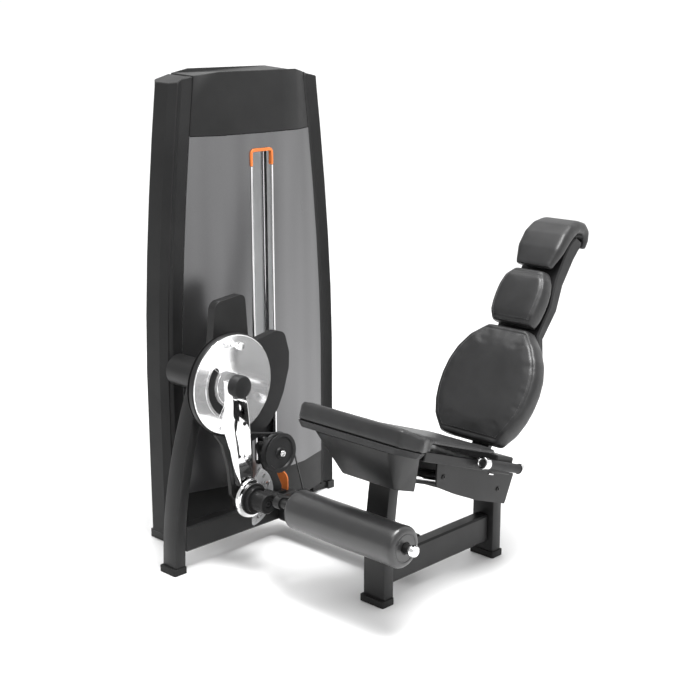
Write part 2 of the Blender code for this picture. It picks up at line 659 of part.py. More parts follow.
def pulley_bracket(machine):
    """The leaning bar and the axle of the low pulley, standing on the cross beam."""
    x_low, x_high = 0.070, 0.088
    foot_y = -0.078
    outline = capsule((foot_y, BEAM_TOP_Z + 0.022), (LOW_PULLEY.y, LOW_PULLEY.z), 0.020, 0.018, 8)
    bar = plate("pulley_bracket", outline, "X", x_low, x_high, "black_paint", machine, edge=0.002)
    base = box("pulley_bracket_base", (x_low - 0.010, foot_y - 0.030, BEAM_TOP_Z + GAP),
               (x_high + 0.012, foot_y + 0.030, BEAM_TOP_Z + 0.010), "black_paint", machine)
    axle = cylinder("pulley_axle", 0.007, (x_high - 0.010, LOW_PULLEY.y, LOW_PULLEY.z),
                    (LOW_PULLEY.x + 0.018, LOW_PULLEY.y, LOW_PULLEY.z), "chrome", machine, segments=16)
    boss = cylinder("pulley_boss", 0.016, (x_high - 0.005, LOW_PULLEY.y, LOW_PULLEY.z),
                    (LOW_PULLEY.x - 0.0150, LOW_PULLEY.y, LOW_PULLEY.z), "black_paint", machine, segments=20)
    return weld(bar, base, boss, axle)


def low_pulley(machine):
    holder = empty("low_pulley_axis", machine, LOW_PULLEY)
    pulley("low_pulley", LOW_PULLEY_RADIUS, 0.028, holder, steps=28)


def cable_guard(machine):
    """The bright plate beside the cable where it enters the tower's foot."""
    bottom, top = BEAM_TOP_Z + GAP, 0.218
    outline = rounded([(-0.034, bottom), (0.090, bottom), (0.090, top), (-0.034, top)],
                      [0.004, 0.004, 0.026, 0.004], 4)
    return plate("cable_guard", outline, "Y", -0.0335, -0.0285, "orange_plastic", machine, edge=0.001)


def drive_cables(machine):
    """The drive cable: round the cam, over the low pulley and down to its collar on the beam."""
    wrap = LOW_PULLEY_RADIUS - GROOVE_DEPTH + CABLE_RADIUS + 0.0008
    drum = CAM_RADIUS - 0.012 + CABLE_RADIUS + 0.0012
    cam, wheel = Vector((PIVOT.y, PIVOT.z)), Vector((LOW_PULLEY.y, LOW_PULLEY.z))
    apart, down = wheel - cam, Vector((CABLE_END_Y, CABLE_END_Z)) - wheel
    heading = math.degrees(math.atan2(apart.y, apart.x) + math.asin((wrap + drum) / apart.length))
    leave = math.degrees(math.atan2(down.y, down.x) + math.acos(wrap / down.length))
    route = arc(cam, drum, 150.0, heading + 270.0, 14) + arc(wheel, wrap, heading + 90.0, leave, 6)
    route.append((CABLE_END_Y, CABLE_END_Z + 0.003))
    tube("cable_drive", [(CAM_GROOVE_X, y, z) for y, z in route], CABLE_RADIUS, "cable_steel", machine,
         resolution=2)


def lower_frame(machine):
    tower_beam_y = (-0.512, -0.005)
    beam("tower_beam", (0.060, tower_beam_y[0], BEAM_TOP_Z - BEAM_HEIGHT),
         (0.110, tower_beam_y[1], BEAM_TOP_Z), machine)
    across = beam("cross_beam", (0.1103, -0.100, BEAM_TOP_Z - BEAM_HEIGHT),
                  (SEAT_X - BEAM / 2 - GAP, -0.008, BEAM_TOP_Z), machine)
    collar = box("cable_collar", (LOW_PULLEY.x - 0.014, CABLE_END_Y - 0.013, BEAM_TOP_Z - 0.010),
                 (LOW_PULLEY.x + 0.014, CABLE_END_Y + 0.013, CABLE_END_Z), "black_paint", machine)
    weld(across, collar)
    beam("seat_beam", (SEAT_X - BEAM / 2, -0.2175, BEAM_TOP_Z - BEAM_HEIGHT - 0.010),
         (SEAT_X + BEAM / 2, 0.2785, BEAM_TOP_Z), machine)
    support_leg(machine)
    foot("leg_foot", 0.080, -0.5455, 0.040, 0.0265, machine)
    axle_tube(machine)
    drive_upright(machine)
    wing_cover(machine)
    pulley_bracket(machine)
    low_pulley(machine)
    cable_guard(machine)
    drive_cables(machine)


# ---------------------------------------------------------------- leg arm
def arm_cam(arm):
    """Two black layers with the cable groove between them, on the arm's shaft."""
    x0, x1 = CAM_BACK_X, CAM_FRONT_X
    floor, lip = CAM_RADIUS - 0.012, 0.0042
    profile = [(0.0, x1), (CAM_RADIUS - 0.002, x1), (CAM_RADIUS, x1 - 0.002),
               (CAM_RADIUS, CAM_GROOVE_X + lip), (floor, CAM_GROOVE_X + lip), (floor, CAM_GROOVE_X - lip),
               (CAM_RADIUS, CAM_GROOVE_X - lip), (CAM_RADIUS, x0 + 0.002), (CAM_RADIUS - 0.002, x0),
               (0.016, x0), (0.016, 0.070), (0.0, 0.070)]
    return turned("arm_cam", profile, "black_paint", arm, (0.0, 0.0, 0.0), steps=48)


def chrome_disc(arm):
    """The polished face plate, with a curved window on the user's side of the hub."""
    back = CAM_FRONT_X + GAP
    rim = [(0.0, CHROME_FRONT_X), (CHROME_RADIUS - 0.002, CHROME_FRONT_X),
           (CHROME_RADIUS, CHROME_FRONT_X - 0.002), (CHROME_RADIUS, back), (0.0, back)]
    disc = turned("arm_disc", rim, "chrome", arm, (0.0, 0.0, 0.0), steps=48)
    window = plate("disc_window", curved_slot(0.092, 0.015, 143.0, 232.0), "X", back - 0.004,
                   CHROME_FRONT_X + 0.004, "chrome", arm)
    return carve(disc, window)


def arm_lever(arm):
    """The polished lever from the hub to the ankle pivot: broad at the disc, slim at the front."""
    stations = [
        # height, front face from and to, back face from and to, front face X
        (0.020, -0.030, 0.030, -0.040, 0.040, 0.214),
        (-0.055, -0.026, 0.036, -0.040, 0.046, 0.220),
        (-0.100, -0.030, 0.040, -0.050, 0.050, 0.222),
        (-0.146, -0.024, 0.044, -0.048, 0.053, 0.222),
        (-0.220, -0.014, 0.048, -0.024, 0.054, 0.222),
        (-0.295, -0.008, 0.051, -0.010, 0.056, 0.222),
        (-0.345, 0.000, 0.051, -0.002, 0.056, 0.222),
    ]
    rings = []
    for z, f0, f1, b0, b1, front in stations:
        rings.append([(front, f0, z), (front, f1, z), (LEVER_BACK_X, b1, z), (LEVER_BACK_X, b0, z)])
    lever = loft("arm_lever", rings, "chrome", arm, edge=0.002)
    recess = plate("lever_recess", capsule((0.021, -0.185), (0.024, -0.246), 0.0105), "X",
                   LEVER_FRONT_X - 0.008, LEVER_FRONT_X + 0.004, "chrome", arm)
    seat_for_cap = cylinder("cap_seat", HUB_CAP_RADIUS + GAP, (HUB_SEAT_X, 0.0, 0.0), (0.260, 0.0, 0.0),
                            "chrome", arm, segments=36)
    return carve(lever, recess, seat_for_cap)


def arm_backplate(arm):
    """The black curved plate behind the lever, from the hub down to the ankle pivot."""
    outer = [(-0.082, -0.152), (-0.052, -0.193), (-0.030, -0.268), (-0.022, -0.330), (-0.019, -0.376)]
    around = arc((CRANK.y, CRANK.z), 0.036, 200.0, 340.0, 8)
    inner = [(0.074, -0.330), (0.070, -0.250), (0.066, -0.195)]
    rise = arc((0.0, 0.0), CAM_RADIUS + 0.002, -71.0, -113.0, 8)
    outline = outer + around + inner + rise
    return plate("arm_backplate", outline, "X", 0.179, LEVER_BACK_X - GAP * 2, "black_paint", arm, edge=0.002)


def hub_cap(arm):
    """The black cap over the arm's shaft end, seated on the lever."""
    x, radius = HUB_SEAT_X + GAP, HUB_CAP_RADIUS
    profile = [(0.0, 0.244), (radius - 0.008, 0.244), (radius - 0.003, 0.242), (radius, 0.237), (radius, x),
               (0.0, x)]
    return turned("arm_hub_cap", profile, "black_plastic", arm, (0.0, 0.0, 0.0), steps=36)


def knob(name, kind, parent, place, radius, length, steps=20):
    """A small domed knob whose axis is along X, its back at the given place."""
    profile = [(0.0, length), (radius * 0.55, length), (radius * 0.85, length - radius * 0.20),
               (radius, length - radius * 0.55), (radius, length * 0.35), (radius * 0.70, length * 0.22),
               (radius * 0.70, 0.0), (0.0, 0.0)]
    return turned(name, profile, kind, parent, place, steps=steps)


def arm_fittings(arm):
    """The range pin near the top of the disc."""
    face = CHROME_FRONT_X + GAP
    pin = empty("range_pin_axis", arm, (face, 0.010, 0.132))
    profile = [(0.0, 0.034), (0.010, 0.034), (0.013, 0.031), (0.013, 0.016), (0.009, 0.012),
               (0.009, 0.0), (0.0, 0.0)]
    turned("range_pin", profile, "chrome", pin, (0.0, 0.0, 0.0), steps=24)


def ankle_pivot(arm):
    """The index sector, the polished ring and the black flange at the arm's lower end."""
    centre = (CRANK.y, CRANK.z)
    radius = 0.104
    sector = arc(centre, radius, -82.0, 62.0, 22) + [(CRANK.y + 0.010, CRANK.z + 0.040),
                                                     (CRANK.y + 0.012, CRANK.z - 0.098)]
    slots = []
    for step in range(-3, 3):
        angle = math.radians(22.0 * step)
        out = Vector((math.cos(angle), math.sin(angle)))
        middle = Vector(centre) + out * 0.087
        slots.append(capsule(middle - out * 0.005, middle + out * 0.005, 0.0042, steps=4))
    plate("index_sector", sector, "X", *SECTOR_X, "chrome", arm, holes=slots)
    x0 = SECTOR_X[1] + GAP
    ring = [(0.0, x0 + 0.014), (0.059, x0 + 0.014), (0.064, x0 + 0.011), (0.066, x0 + 0.006), (0.066, x0),
            (0.0, x0)]
    half = turned("ankle_ring", ring, "chrome", arm, (0.0, CRANK.y, CRANK.z), steps=40)
    clear = box("ring_clearance", (x0 - 0.01, CRANK.y + 0.020, CRANK.z - 0.1),
                (x0 + 0.02, CRANK.y + 0.1, CRANK.z + 0.1), "chrome", arm)
    carve(half, clear)
    return x0 + 0.014


def crank(arm, ring_face):
    """The adjustable crank: a hub on the ankle pivot, a bar beside it, and a link to the roller's axle."""
    holder = empty("crank_axis", arm, CRANK)
    x0 = ring_face + GAP
    end, radius = 0.320, 0.034
    hub = [(0.0, end - 0.008), (0.013, end - 0.008), (0.014, end), (radius - 0.003, end), (radius, end - 0.003),
           (radius, x0 + 0.022), (0.044, x0 + 0.022), (0.044, x0 + 0.006), (0.053, x0 + 0.006), (0.053, x0),
           (0.0, x0)]
    barrel = turned("crank", hub, "black_paint", holder, (0.0, 0.0, 0.0), steps=32)
    side, link_x = (0.030, 0.020), 0.404
    bar = cylinder("crank_bar", 0.0150, (end - 0.045, *side), (link_x + 0.013, *side), "black_paint", holder,
                   segments=20)
    link = plate("crank_link", capsule(side, (ROLLER.y, ROLLER.z), 0.0175, 0.0205), "X", link_x,
                 link_x + 0.026, "black_paint", holder)
    end_x = ROLLER_END_X + 0.018
    axle = cylinder("roller_axle_tool", 0.0145, (link_x + 0.013, ROLLER.y, ROLLER.z),
                    (end_x, ROLLER.y, ROLLER.z), "black_paint", holder, segments=20)
    stop = cylinder("roller_stop", 0.026, (ROLLER_START_X - 0.014, ROLLER.y, ROLLER.z),
                    (ROLLER_START_X + 0.010, ROLLER.y, ROLLER.z), "black_paint", holder, segments=24)
    weld(barrel, bar, link, axle, stop)
    axis = empty("roller_axis", holder, ROLLER)
    foam_roller(axis)
    knob("axle_knob", "chrome", holder, (end_x + GAP, ROLLER.y, ROLLER.z), 0.0185, 0.026)


def foam_roller(axis):
    """The foam sleeve on its liner, with a recessed black cap at its outer end."""
    x0, x1, bore = ROLLER_START_X, ROLLER_END_X, 0.0150
    soft = 0.018
    corner = [(ROLLER_RADIUS - soft + soft * math.sin(math.radians(a)),
               x1 - soft + soft * math.cos(math.radians(a))) for a in (0, 30, 60, 90)]
    lower = [(r, x0 + x1 - h) for r, h in reversed(corner)]
    profile = [(0.034, x1), *corner, *lower, (0.034, x0), (0.034, x0 + 0.012), (bore, x0 + 0.012),
               (bore, x1 - 0.012), (0.034, x1 - 0.012), (0.034, x1)]
    turned("roller_foam", profile, "black_foam", axis, (0.0, 0.0, 0.0), steps=32)
    low = x1 - 0.012 + GAP
    high = low + 0.010 - GAP
    ring = [(bore, high), (0.030, high), (0.0335, high - 0.002), (0.0335, low), (bore, low), (bore, high)]
    turned("roller_cap", ring, "black_plastic", axis, (0.0, 0.0, 0.0), steps=24)


def leg_arm(machine):
    arm = empty("arm_axis", machine, PIVOT)
    arm_cam(arm)
    chrome_disc(arm)
    arm_lever(arm)
    arm_backplate(arm)
    hub_cap(arm)
    arm_fittings(arm)
    flange_face = ankle_pivot(arm)
    crank(arm, flange_face)


# ---------------------------------------------------------------- seat and carriage
def front_post(machine, plane):
    """The post under the seat: upright at the foot and bowed back at the top."""
    top = 0.420
    rings = []
    for i in range(7):
        z = 0.022 + GAP + (top - 0.022) * i / 6
        centre = -0.2415 + 0.28 * max(0.0, z - 0.10) ** 2
        rings.append([(SEAT_X + u, centre + v, z) for u, v in rectangle(0.045, 0.0225, 0.006, steps=2)])
    post = loft("front_post", rings, "black_paint", machine)
    above = box("above_gusset", (-0.2, 0.0, GUSSET_BOTTOM - GAP), (0.2, 0.5, 0.1), "black_paint", plane)
    return carve(post, above)


def rear_post(machine, plane):
    """The upright post under the sloping rail."""
    outline = [(SEAT_X + u, 0.3015 + v) for u, v in rectangle(0.045, 0.0225, 0.006, steps=2)]
    post = plate("rear_post", outline, "Z", 0.022 + GAP, 0.300, "black_paint", machine)
    above = box("above_rail_bottom", (-0.2, 0.4, RAIL_BOTTOM - GAP), (0.2, 1.0, 0.1), "black_paint", plane)
    return carve(post, above)


def seat_outline(grow=0.0):
    """Plan of the seat: a broad front with cut corners and a narrow tail."""
    half = [(0.206, 0.0), (0.252, 0.062), (0.232, 0.105), (0.170, 0.190), (0.148, 0.255), (0.148, 0.572)]
    half = [(x + grow, y - grow if number == 0 else y) for number, (x, y) in enumerate(half)]
    return half + [(-x, y) for x, y in reversed(half)]


def seat_fall(x, y):
    """The pad's top falls at its cut front corners and behind its front lip."""
    corner = -0.015 * min(1.0, max(0.0, (abs(x) - 0.206) / 0.046))
    behind = -0.018 * min(1.0, max(0.0, (y - 0.070) / 0.120))
    return min(corner, behind)


def seat(frame):
    """The seat pad on its base and gusset, the rail under it, and the carriage."""
    pad = seat_outline()
    corners = [0.012, 0.012, 0.020, 0.050, 0.060, 0.020]
    radii = corners + corners[::-1]
    low = -0.058
    rings = [[(x * scale, y * scale + drop, z + fall * seat_fall(x, y)) for x, y in rounded(pad, radii, 2)]
             for z, scale, drop, fall in ((low, 0.995, 0.002, 0.0), (-0.006, 1.0, 0.0, 1.0),
                                          (0.0, 0.985, 0.004, 1.0))]
    part = loft("seat_pad", rings, "black_leather", frame, smooth_angle=25.0)
    tail = box("seat_tail_cut", (-0.30, 0.215, -0.10), (0.30, 0.70, -0.034), "black_leather", frame)
    carve(part, tail)
    shell = [(x * 0.985, y) for x, y in seat_outline()[:3]]
    base = shell + [(0.150, 0.200), (-0.150, 0.200)] + [(-x, y) for x, y in reversed(shell)]
    lower = [(x * 0.93, y * 0.93 + 0.008) for x, y in base]
    loft("seat_base", [[(x, y, -0.078) for x, y in lower], [(x, y, low - GAP) for x, y in base]],
         "black_plastic", frame, edge=0.002)
    top = [(-0.150, 0.026), (0.150, 0.026), (0.168, 0.090), (0.140, 0.198), (-0.140, 0.198), (-0.168, 0.090)]
    bottom = [(-0.108, 0.148), (0.108, 0.148), (0.112, 0.170), (0.100, RAIL_START), (-0.100, RAIL_START),
              (-0.112, 0.170)]
    loft("seat_gusset", [[(x, y, GUSSET_BOTTOM) for x, y in bottom],
                         [(x, y, -0.078 - GAP) for x, y in top]], "black_paint", frame, edge=0.004)
    rail(frame)
    carriage(frame)


def rail(frame):
    """The sloping rail under the seat, and the bright stop rod beside it."""
    box("seat_rail", (-0.034, RAIL_START + GAP, RAIL_BOTTOM), (0.034, 0.800, RAIL_TOP), "black_paint", frame, edge=0.005)
    rod = cylinder("stop_rod", 0.0075, (0.052, 0.2665, -0.151), (0.052, 0.420, -0.151), "chrome", frame,
                   segments=16)
    collar = cylinder("stop_collar", 0.0125, (0.052, 0.2665, -0.151), (0.052, 0.281, -0.151), "chrome",
                      frame, segments=20)
    lug = box("stop_lug", (0.0343, 0.400, -0.160), (0.056, 0.412, -0.142), "chrome", frame)
    weld(rod, collar, lug)


def carriage(frame):
    """The sliding bracket: two side plates under a deck, with the backrest and the grips."""
    slide = empty("carriage_origin", frame, (0.0, 0.0, 0.0))
    side = rounded([(0.353, -0.092), (0.771, -0.089), (0.760, -0.195), (0.600, -0.195), (0.480, -0.185),
                    (0.377, -0.170)], [0.006, 0.006, 0.008, 0.080, 0.080, 0.010], 3)
    deck = box("carriage", (-0.126, 0.236, -0.0935), (0.126, 0.695, -0.060), "black_paint", slide, edge=0.003)
    cheeks = [plate(f"carriage_cheek_{number}", side, "X", low, low + 0.006, "black_paint", slide)
              for number, low in enumerate((-0.088, 0.082))]
    tail = box("carriage_tail", (-0.130, 0.600, -0.066), (0.130, 0.692, -0.034), "black_paint", slide,
               edge=0.004)
    back = empty("backrest_plane", slide, BACK_ORIGIN, (-BACK_TILT, 0.0, 0.0))
    stem = box("carriage_stem", (-0.035, 0.0823, -0.050), (0.035, 0.100, 0.300), "black_paint", back)
    weld(deck, *cheeks, tail, stem)
    for name, side_sign in (("grip_left", -1), ("grip_right", 1)):
        grip(name, side_sign, slide)
    backrest(back)


def grip(name, side, slide):
    """A short side grip with a bright collar in front."""
    x, z = side * 0.1500, -0.066
    bar = cylinder(name, 0.0155, (x, 0.525, z), (x, 0.700, z), "black_plastic", slide, edge=0.003,
                   segments=20)
    bracket = box(f"{name}_bracket", (min(side * 0.1305, x), 0.590, z - 0.005),
                  (max(side * 0.1305, x), 0.640, z + 0.005), "black_paint", slide)
    weld(bar, bracket)
    cylinder(f"{name}_collar", 0.0190, (x, 0.505, z), (x, 0.525 - GAP, z), "chrome", slide, segments=24)


def barrel_half_width(s, length, bottom, middle, top, peak):
    """Half width of a pad at a height: full in the middle and drawn in at both ends."""
    if s < peak:
        return middle - (middle - bottom) * (1.0 - s / peak) ** 2.2
    return middle - (middle - top) * ((s - peak) / (length - peak)) ** 2.2


def cushion(name, base, length, widths, peak, front, back, parent, rows=9):
    """A pad with a crowned front: rings up its length, each a rounded rectangle."""
    rings = []
    for i in range(rows):
        s = length * i / (rows - 1)
        end = min(1.0, max(0.0, 4.5 * min(s, length - s) / length))
        round_off = math.sqrt(1.0 - (1.0 - end) ** 2)
        half = barrel_half_width(s, length, *widths, peak) * (0.93 + 0.07 * round_off)
        swell = front - 0.016 * (1.0 - round_off)
        depth = (swell + back) / 2
        rings.append([(u, v + (back - swell) / 2, base + s)
                      for u, v in rectangle(half, depth, min(0.024, depth * 0.8), steps=3)])
    return loft(name, rings, "black_leather", parent, smooth_angle=60.0)


def backrest(back):
    """The reclined back: three pads on one moulded shell."""
    cushion("back_pad", 0.0, 0.396, (0.133, 0.192, 0.095), 0.190, 0.020, 0.055, back)
    cushion("shoulder_pad", 0.412, 0.196, (0.088, 0.099, 0.070), 0.095, 0.018, 0.050, back, rows=7)
    head_pad(back)
    levels = [(0.020, 0.080, 0.0555, 0.070), (0.120, 0.140, 0.0555, 0.081), (0.302, 0.140, 0.0555, 0.0818),
              (0.400, 0.088, 0.0555, 0.096), (0.430, 0.089, 0.0555, 0.100), (0.507, 0.095, 0.0555, 0.104),
              (0.600, 0.080, 0.0555, 0.108), (0.700, 0.080, 0.0560, 0.116), (0.735, 0.080, 0.0620, 0.124),
              (0.750, 0.079, 0.0700, 0.130), (0.764, 0.076, 0.0800, 0.134), (0.774, 0.072, 0.0900, 0.130)]
    rings = [[(-half, front, s), (half, front, s), (half * 0.96, rear, s), (-half * 0.96, rear, s)]
             for s, half, front, rear in levels]
    loft("back_shell", rings, "black_plastic", back, edge=0.005)


def head_pad(back):
    """The head cushion, whose top rolls back over the shell."""
    path = [(0.002, 0.624), (-0.001, 0.690), (0.008, 0.748), (0.031, 0.792), (0.070, 0.826), (0.118, 0.839),
            (0.156, 0.828), (0.176, 0.798), (0.178, 0.762)]
    thickness = [0.030, 0.046, 0.050, 0.050, 0.046, 0.044, 0.038, 0.030, 0.020]
    half_width = [0.071, 0.088, 0.089, 0.086, 0.081, 0.076, 0.073, 0.070, 0.066]
    rings = []
    for number, ((y, z), deep, half) in enumerate(zip(path, thickness, half_width)):
        ahead = Vector(path[min(number + 1, len(path) - 1)])
        behind = Vector(path[max(number - 1, 0)])
        run = (ahead - behind).normalized()
        inward = Vector((run.y, -run.x))
        middle = Vector((y, z)) + inward * deep / 2
        rings.append([(u, middle.x + inward.x * v, middle.y + inward.y * v)
                      for u, v in rectangle(half, deep / 2, min(0.016, deep * 0.4), steps=3)])
    return loft("head_pad", rings, "black_leather", back, smooth_angle=60.0)


def seat_frame(machine):
    plane = empty("seat_plane", machine, SEAT_ORIGIN, (-SEAT_TILT, 0.0, 0.0))
    front_post(machine, plane)
    rear_post(machine, plane)
    foot("front_foot", SEAT_X, -0.248, 0.050, 0.027, machine)
    foot("rear_foot", SEAT_X, 0.3015, 0.050, 0.027, machine)
    seat(plane)


# ---------------------------------------------------------------- assembly
def build():
    clear_scene()
    make_collection("parts", "leg_extension_machine")
    make_collection("cutters", "cutters")
    machine = empty("machine", None, (-FOOTPRINT_CENTRE[0], -FOOTPRINT_CENTRE[1], 0.0))
    tower(machine)
    lower_frame(machine)
    leg_arm(machine)
    seat_frame(machine)


build()
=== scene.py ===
"""Looks of the leg extension machine: finishes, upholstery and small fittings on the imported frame."""
import json
import math

import bmesh
import bpy
from mathutils import Matrix, Vector, kdtree
from mathutils.bvhtree import BVHTree


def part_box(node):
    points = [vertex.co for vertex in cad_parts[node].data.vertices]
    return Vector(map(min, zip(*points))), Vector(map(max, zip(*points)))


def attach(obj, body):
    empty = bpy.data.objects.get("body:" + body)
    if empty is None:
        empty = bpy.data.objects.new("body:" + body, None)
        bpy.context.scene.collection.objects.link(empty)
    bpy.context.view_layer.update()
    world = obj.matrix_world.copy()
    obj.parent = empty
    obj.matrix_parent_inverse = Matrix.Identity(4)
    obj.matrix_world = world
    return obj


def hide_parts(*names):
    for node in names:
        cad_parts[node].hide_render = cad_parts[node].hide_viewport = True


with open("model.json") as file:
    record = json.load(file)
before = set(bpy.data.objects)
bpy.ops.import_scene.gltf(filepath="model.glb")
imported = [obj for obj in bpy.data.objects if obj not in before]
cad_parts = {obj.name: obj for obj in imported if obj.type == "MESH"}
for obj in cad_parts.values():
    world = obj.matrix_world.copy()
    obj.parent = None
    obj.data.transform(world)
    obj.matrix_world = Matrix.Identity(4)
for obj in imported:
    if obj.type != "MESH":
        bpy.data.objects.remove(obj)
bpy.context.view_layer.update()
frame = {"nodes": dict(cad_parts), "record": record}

NODES = frame["nodes"]

# ---------------------------------------------------------------- where the CAD's own frames lie
CENTRE = Vector((0.38515, 0.08718, 0.0))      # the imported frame's origin, in the machine's own coordinates
PIVOT = Vector((0.0, -0.365, 0.630)) - CENTRE
DISC_FACE = 0.195 - CENTRE.x                  # the polished disc's outer face
SEAT = (Matrix.Translation(Vector((0.724, -0.370, 0.645)) - CENTRE)
        @ Matrix.Rotation(math.radians(-19.5), 4, "X"))
BACK = SEAT @ Matrix.Translation((0.0, 0.590, -0.005)) @ Matrix.Rotation(math.radians(-11.5), 4, "X")
GRIP_X, GRIP_Z = 0.150, -0.066                # the hand grips' axes, in the seat's frame
GRIP_FRONT_Y, GRIP_REAR_Y = 0.5047, 0.7003

# ---------------------------------------------------------------- sizes that several functions share
STAND_OFF = 0.0002                            # fittings stand this far off the face below them
WELD = 0.00001
CRISP_ANGLE, FITTING_ANGLE = 32.0, 35.0       # steeper edges stay sharp, in degrees
PAD_SWELL = 0.0022                            # the most that a cover moves out when it is stuffed
CLOTH_FRAMES = 20
SEAM_WIDTH, SEAM_DEPTH = 0.0042, 0.0019
STITCH_INSET, STITCH_HALF_LENGTH, STITCH_RADIUS = 0.0062, 0.0030, 0.00055


# ---------------------------------------------------------------- node materials
class Finish:
    """A Principled material with helpers for the procedural nodes behind it."""

    def __init__(self, name, **sockets):
        self.material = bpy.data.materials.new(name)
        self.material.use_nodes = True
        self.tree = self.material.node_tree
        self.shader = self.tree.nodes["Principled BSDF"]
        for socket, value in sockets.items():
            self.shader.inputs[socket.replace("_", " ")].default_value = value
        self.place = self.tree.nodes.new("ShaderNodeTexCoord").outputs["Object"]

    def node(self, kind, inputs, **settings):
        made = self.tree.nodes.new(kind)
        for key, value in settings.items():
            setattr(made, key, value)
        for key, value in inputs.items():
            if isinstance(value, bpy.types.NodeSocket):
                self.tree.links.new(value, made.inputs[key])
            else:
                made.inputs[key].default_value = value
        return made

    def stretched(self, scale):
        return self.node("ShaderNodeMapping", {"Vector": self.place, "Scale": scale}).outputs[0]

    def noise(self, scale, detail=3.0, stretch=None):
        where = self.place if stretch is None else self.stretched(stretch)
        return self.node("ShaderNodeTexNoise", {"Vector": where, "Scale": scale, "Detail": detail,
                                                "Roughness": 0.55}).outputs["Fac"]

    def cells(self, scale, feature="F1"):
        return self.node("ShaderNodeTexVoronoi", {"Vector": self.place, "Scale": scale},
                         feature=feature).outputs["Distance"]

    def ramp(self, value, low, high, to_low, to_high):
        return self.node("ShaderNodeMapRange", {"Value": value, "From Min": low, "From Max": high,
                                                "To Min": to_low, "To Max": to_high}).outputs[0]

    def math(self, operation, first, second):
        return self.node("ShaderNodeMath", {0: first, 1: second}, operation=operation).outputs[0]

    def colour(self, factor, first, second):
        mix = self.node("ShaderNodeMix", {0: factor}, data_type="RGBA")
        mix.inputs["A"].default_value = (*first, 1.0)
        mix.inputs["B"].default_value = (*second, 1.0)
        self.tree.links.new(mix.outputs["Result"], self.shader.inputs["Base Color"])

    def roughness(self, value):
        self.tree.links.new(value, self.shader.inputs["Roughness"])

    def bump(self, height, strength, distance):
        made = self.node("ShaderNodeBump", {"Height": height, "Strength": strength, "Distance": distance})
        self.tree.links.new(made.outputs["Normal"], self.shader.inputs["Normal"])


def powder_coat(name, shade=0.010, low=0.34, high=0.46, specular=0.30):
    """Satin black paint: a fine orange-peel skin and slow changes of tone and gloss."""
    finish = Finish(name, Specular_IOR_Level=specular)
    finish.colour(finish.ramp(finish.noise(5.0, 4.0), 0.3, 0.7, 0.0, 1.0),
                  (shade * 0.80, shade * 0.80, shade * 0.82), (shade * 1.25, shade * 1.25, shade * 1.26))
    finish.roughness(finish.ramp(finish.noise(11.0, 5.0), 0.3, 0.7, low, high))
    skin = finish.math("ADD", finish.noise(420.0, 2.0),
                       finish.math("MULTIPLY", finish.noise(1500.0, 2.0), 0.5))
    finish.bump(skin, 0.22, 0.00025)
    return finish.material


def moulded(name, colour=(0.010, 0.010, 0.0105), low=0.40, high=0.54, grain=1100.0, strength=0.35):
    """Moulded plastic or rubber with a spark-eroded grain."""
    finish = Finish(name, Specular_IOR_Level=0.30)
    tone = finish.ramp(finish.noise(7.0, 4.0), 0.3, 0.7, 0.0, 1.0)
    finish.colour(tone, [c * 0.86 for c in colour], [c * 1.14 for c in colour])
    finish.roughness(finish.ramp(finish.noise(16.0, 4.0), 0.3, 0.7, low, high))
    finish.bump(finish.math("ADD", finish.cells(grain), finish.noise(grain * 0.5, 3.0)), strength, 0.0002)
    return finish.material


def satin_sheet(name):
    """The tower's silver skin: fine metallic lacquer, its grain a little drawn in the rolling direction, with
    slow vertical streaks of painted reflection in its colour.
    """
    finish = Finish(name, Metallic=0.9)
    # Painted reflection: slow vertical streaks of lighter and darker colour stand in for the studio reflected
    # in the satin skin.
    painted_reflection_streaks = finish.ramp(finish.noise(4.5, 2.0, stretch=(1.0, 1.0, 0.10)), 0.30, 0.70, 0.0, 0.9)
    grain = finish.noise(900.0, 3.0, stretch=(1.0, 1.0, 0.25))
    # The colour mixes these painted reflection streaks with the skin's real fine grain.
    tone = finish.math("ADD", finish.math("MULTIPLY", painted_reflection_streaks, 0.7), finish.math("MULTIPLY", grain, 0.3))
    finish.colour(tone, (0.095, 0.095, 0.097), (0.240, 0.240, 0.244))
    slow = finish.ramp(finish.noise(3.0, 3.0, stretch=(3.0, 3.0, 0.4)), 0.3, 0.7, 0.27, 0.35)
    finish.roughness(slow)
    finish.bump(finish.noise(900.0, 3.0, stretch=(1.0, 1.0, 0.30)), 0.04, 0.0001)
    return finish.material


def frosted(name):
    """A frosted plastic rear cover that lets soft light through into the tower."""
    finish = Finish(name, Transmission_Weight=0.75, IOR=1.3)
    finish.colour(finish.ramp(finish.noise(4.0, 3.0), 0.3, 0.7, 0.0, 1.0),
                  (0.46, 0.465, 0.47), (0.54, 0.545, 0.55))
    finish.roughness(finish.ramp(finish.noise(30.0, 3.0), 0.3, 0.7, 0.62, 0.74))
    finish.bump(finish.noise(900.0, 3.0), 0.25, 0.0002)
    return finish.material


def polished(name, low=0.035, high=0.075, shade=0.92, metallic=1.0):
    """Chrome plate: nearly a mirror, with wiping marks and a faint waviness."""
    finish = Finish(name, Metallic=metallic)
    finish.colour(finish.ramp(finish.noise(9.0, 4.0), 0.3, 0.7, 0.0, 1.0),
                  (shade * 0.96, shade * 0.96, shade * 0.965), (shade, shade, shade * 1.005))
    marks = finish.noise(160.0, 5.0, stretch=(1.0, 0.25, 1.0))
    finish.roughness(finish.ramp(marks, 0.35, 0.7, low, high))
    finish.bump(finish.noise(26.0, 2.0), 0.03, 0.0006)
    return finish.material


def satin_steel(name):
    """Brushed steel plate: fine lines left by the belt, and slow changes of gloss."""
    finish = Finish(name, Metallic=1.0)
    lines = finish.noise(420.0, 3.0, stretch=(1.0, 0.06, 1.0))
    finish.colour(lines, (0.72, 0.72, 0.73), (0.86, 0.86, 0.87))
    finish.roughness(finish.ramp(finish.noise(20.0, 4.0), 0.3, 0.7, 0.24, 0.34))
    finish.bump(lines, 0.12, 0.0001)
    return finish.material


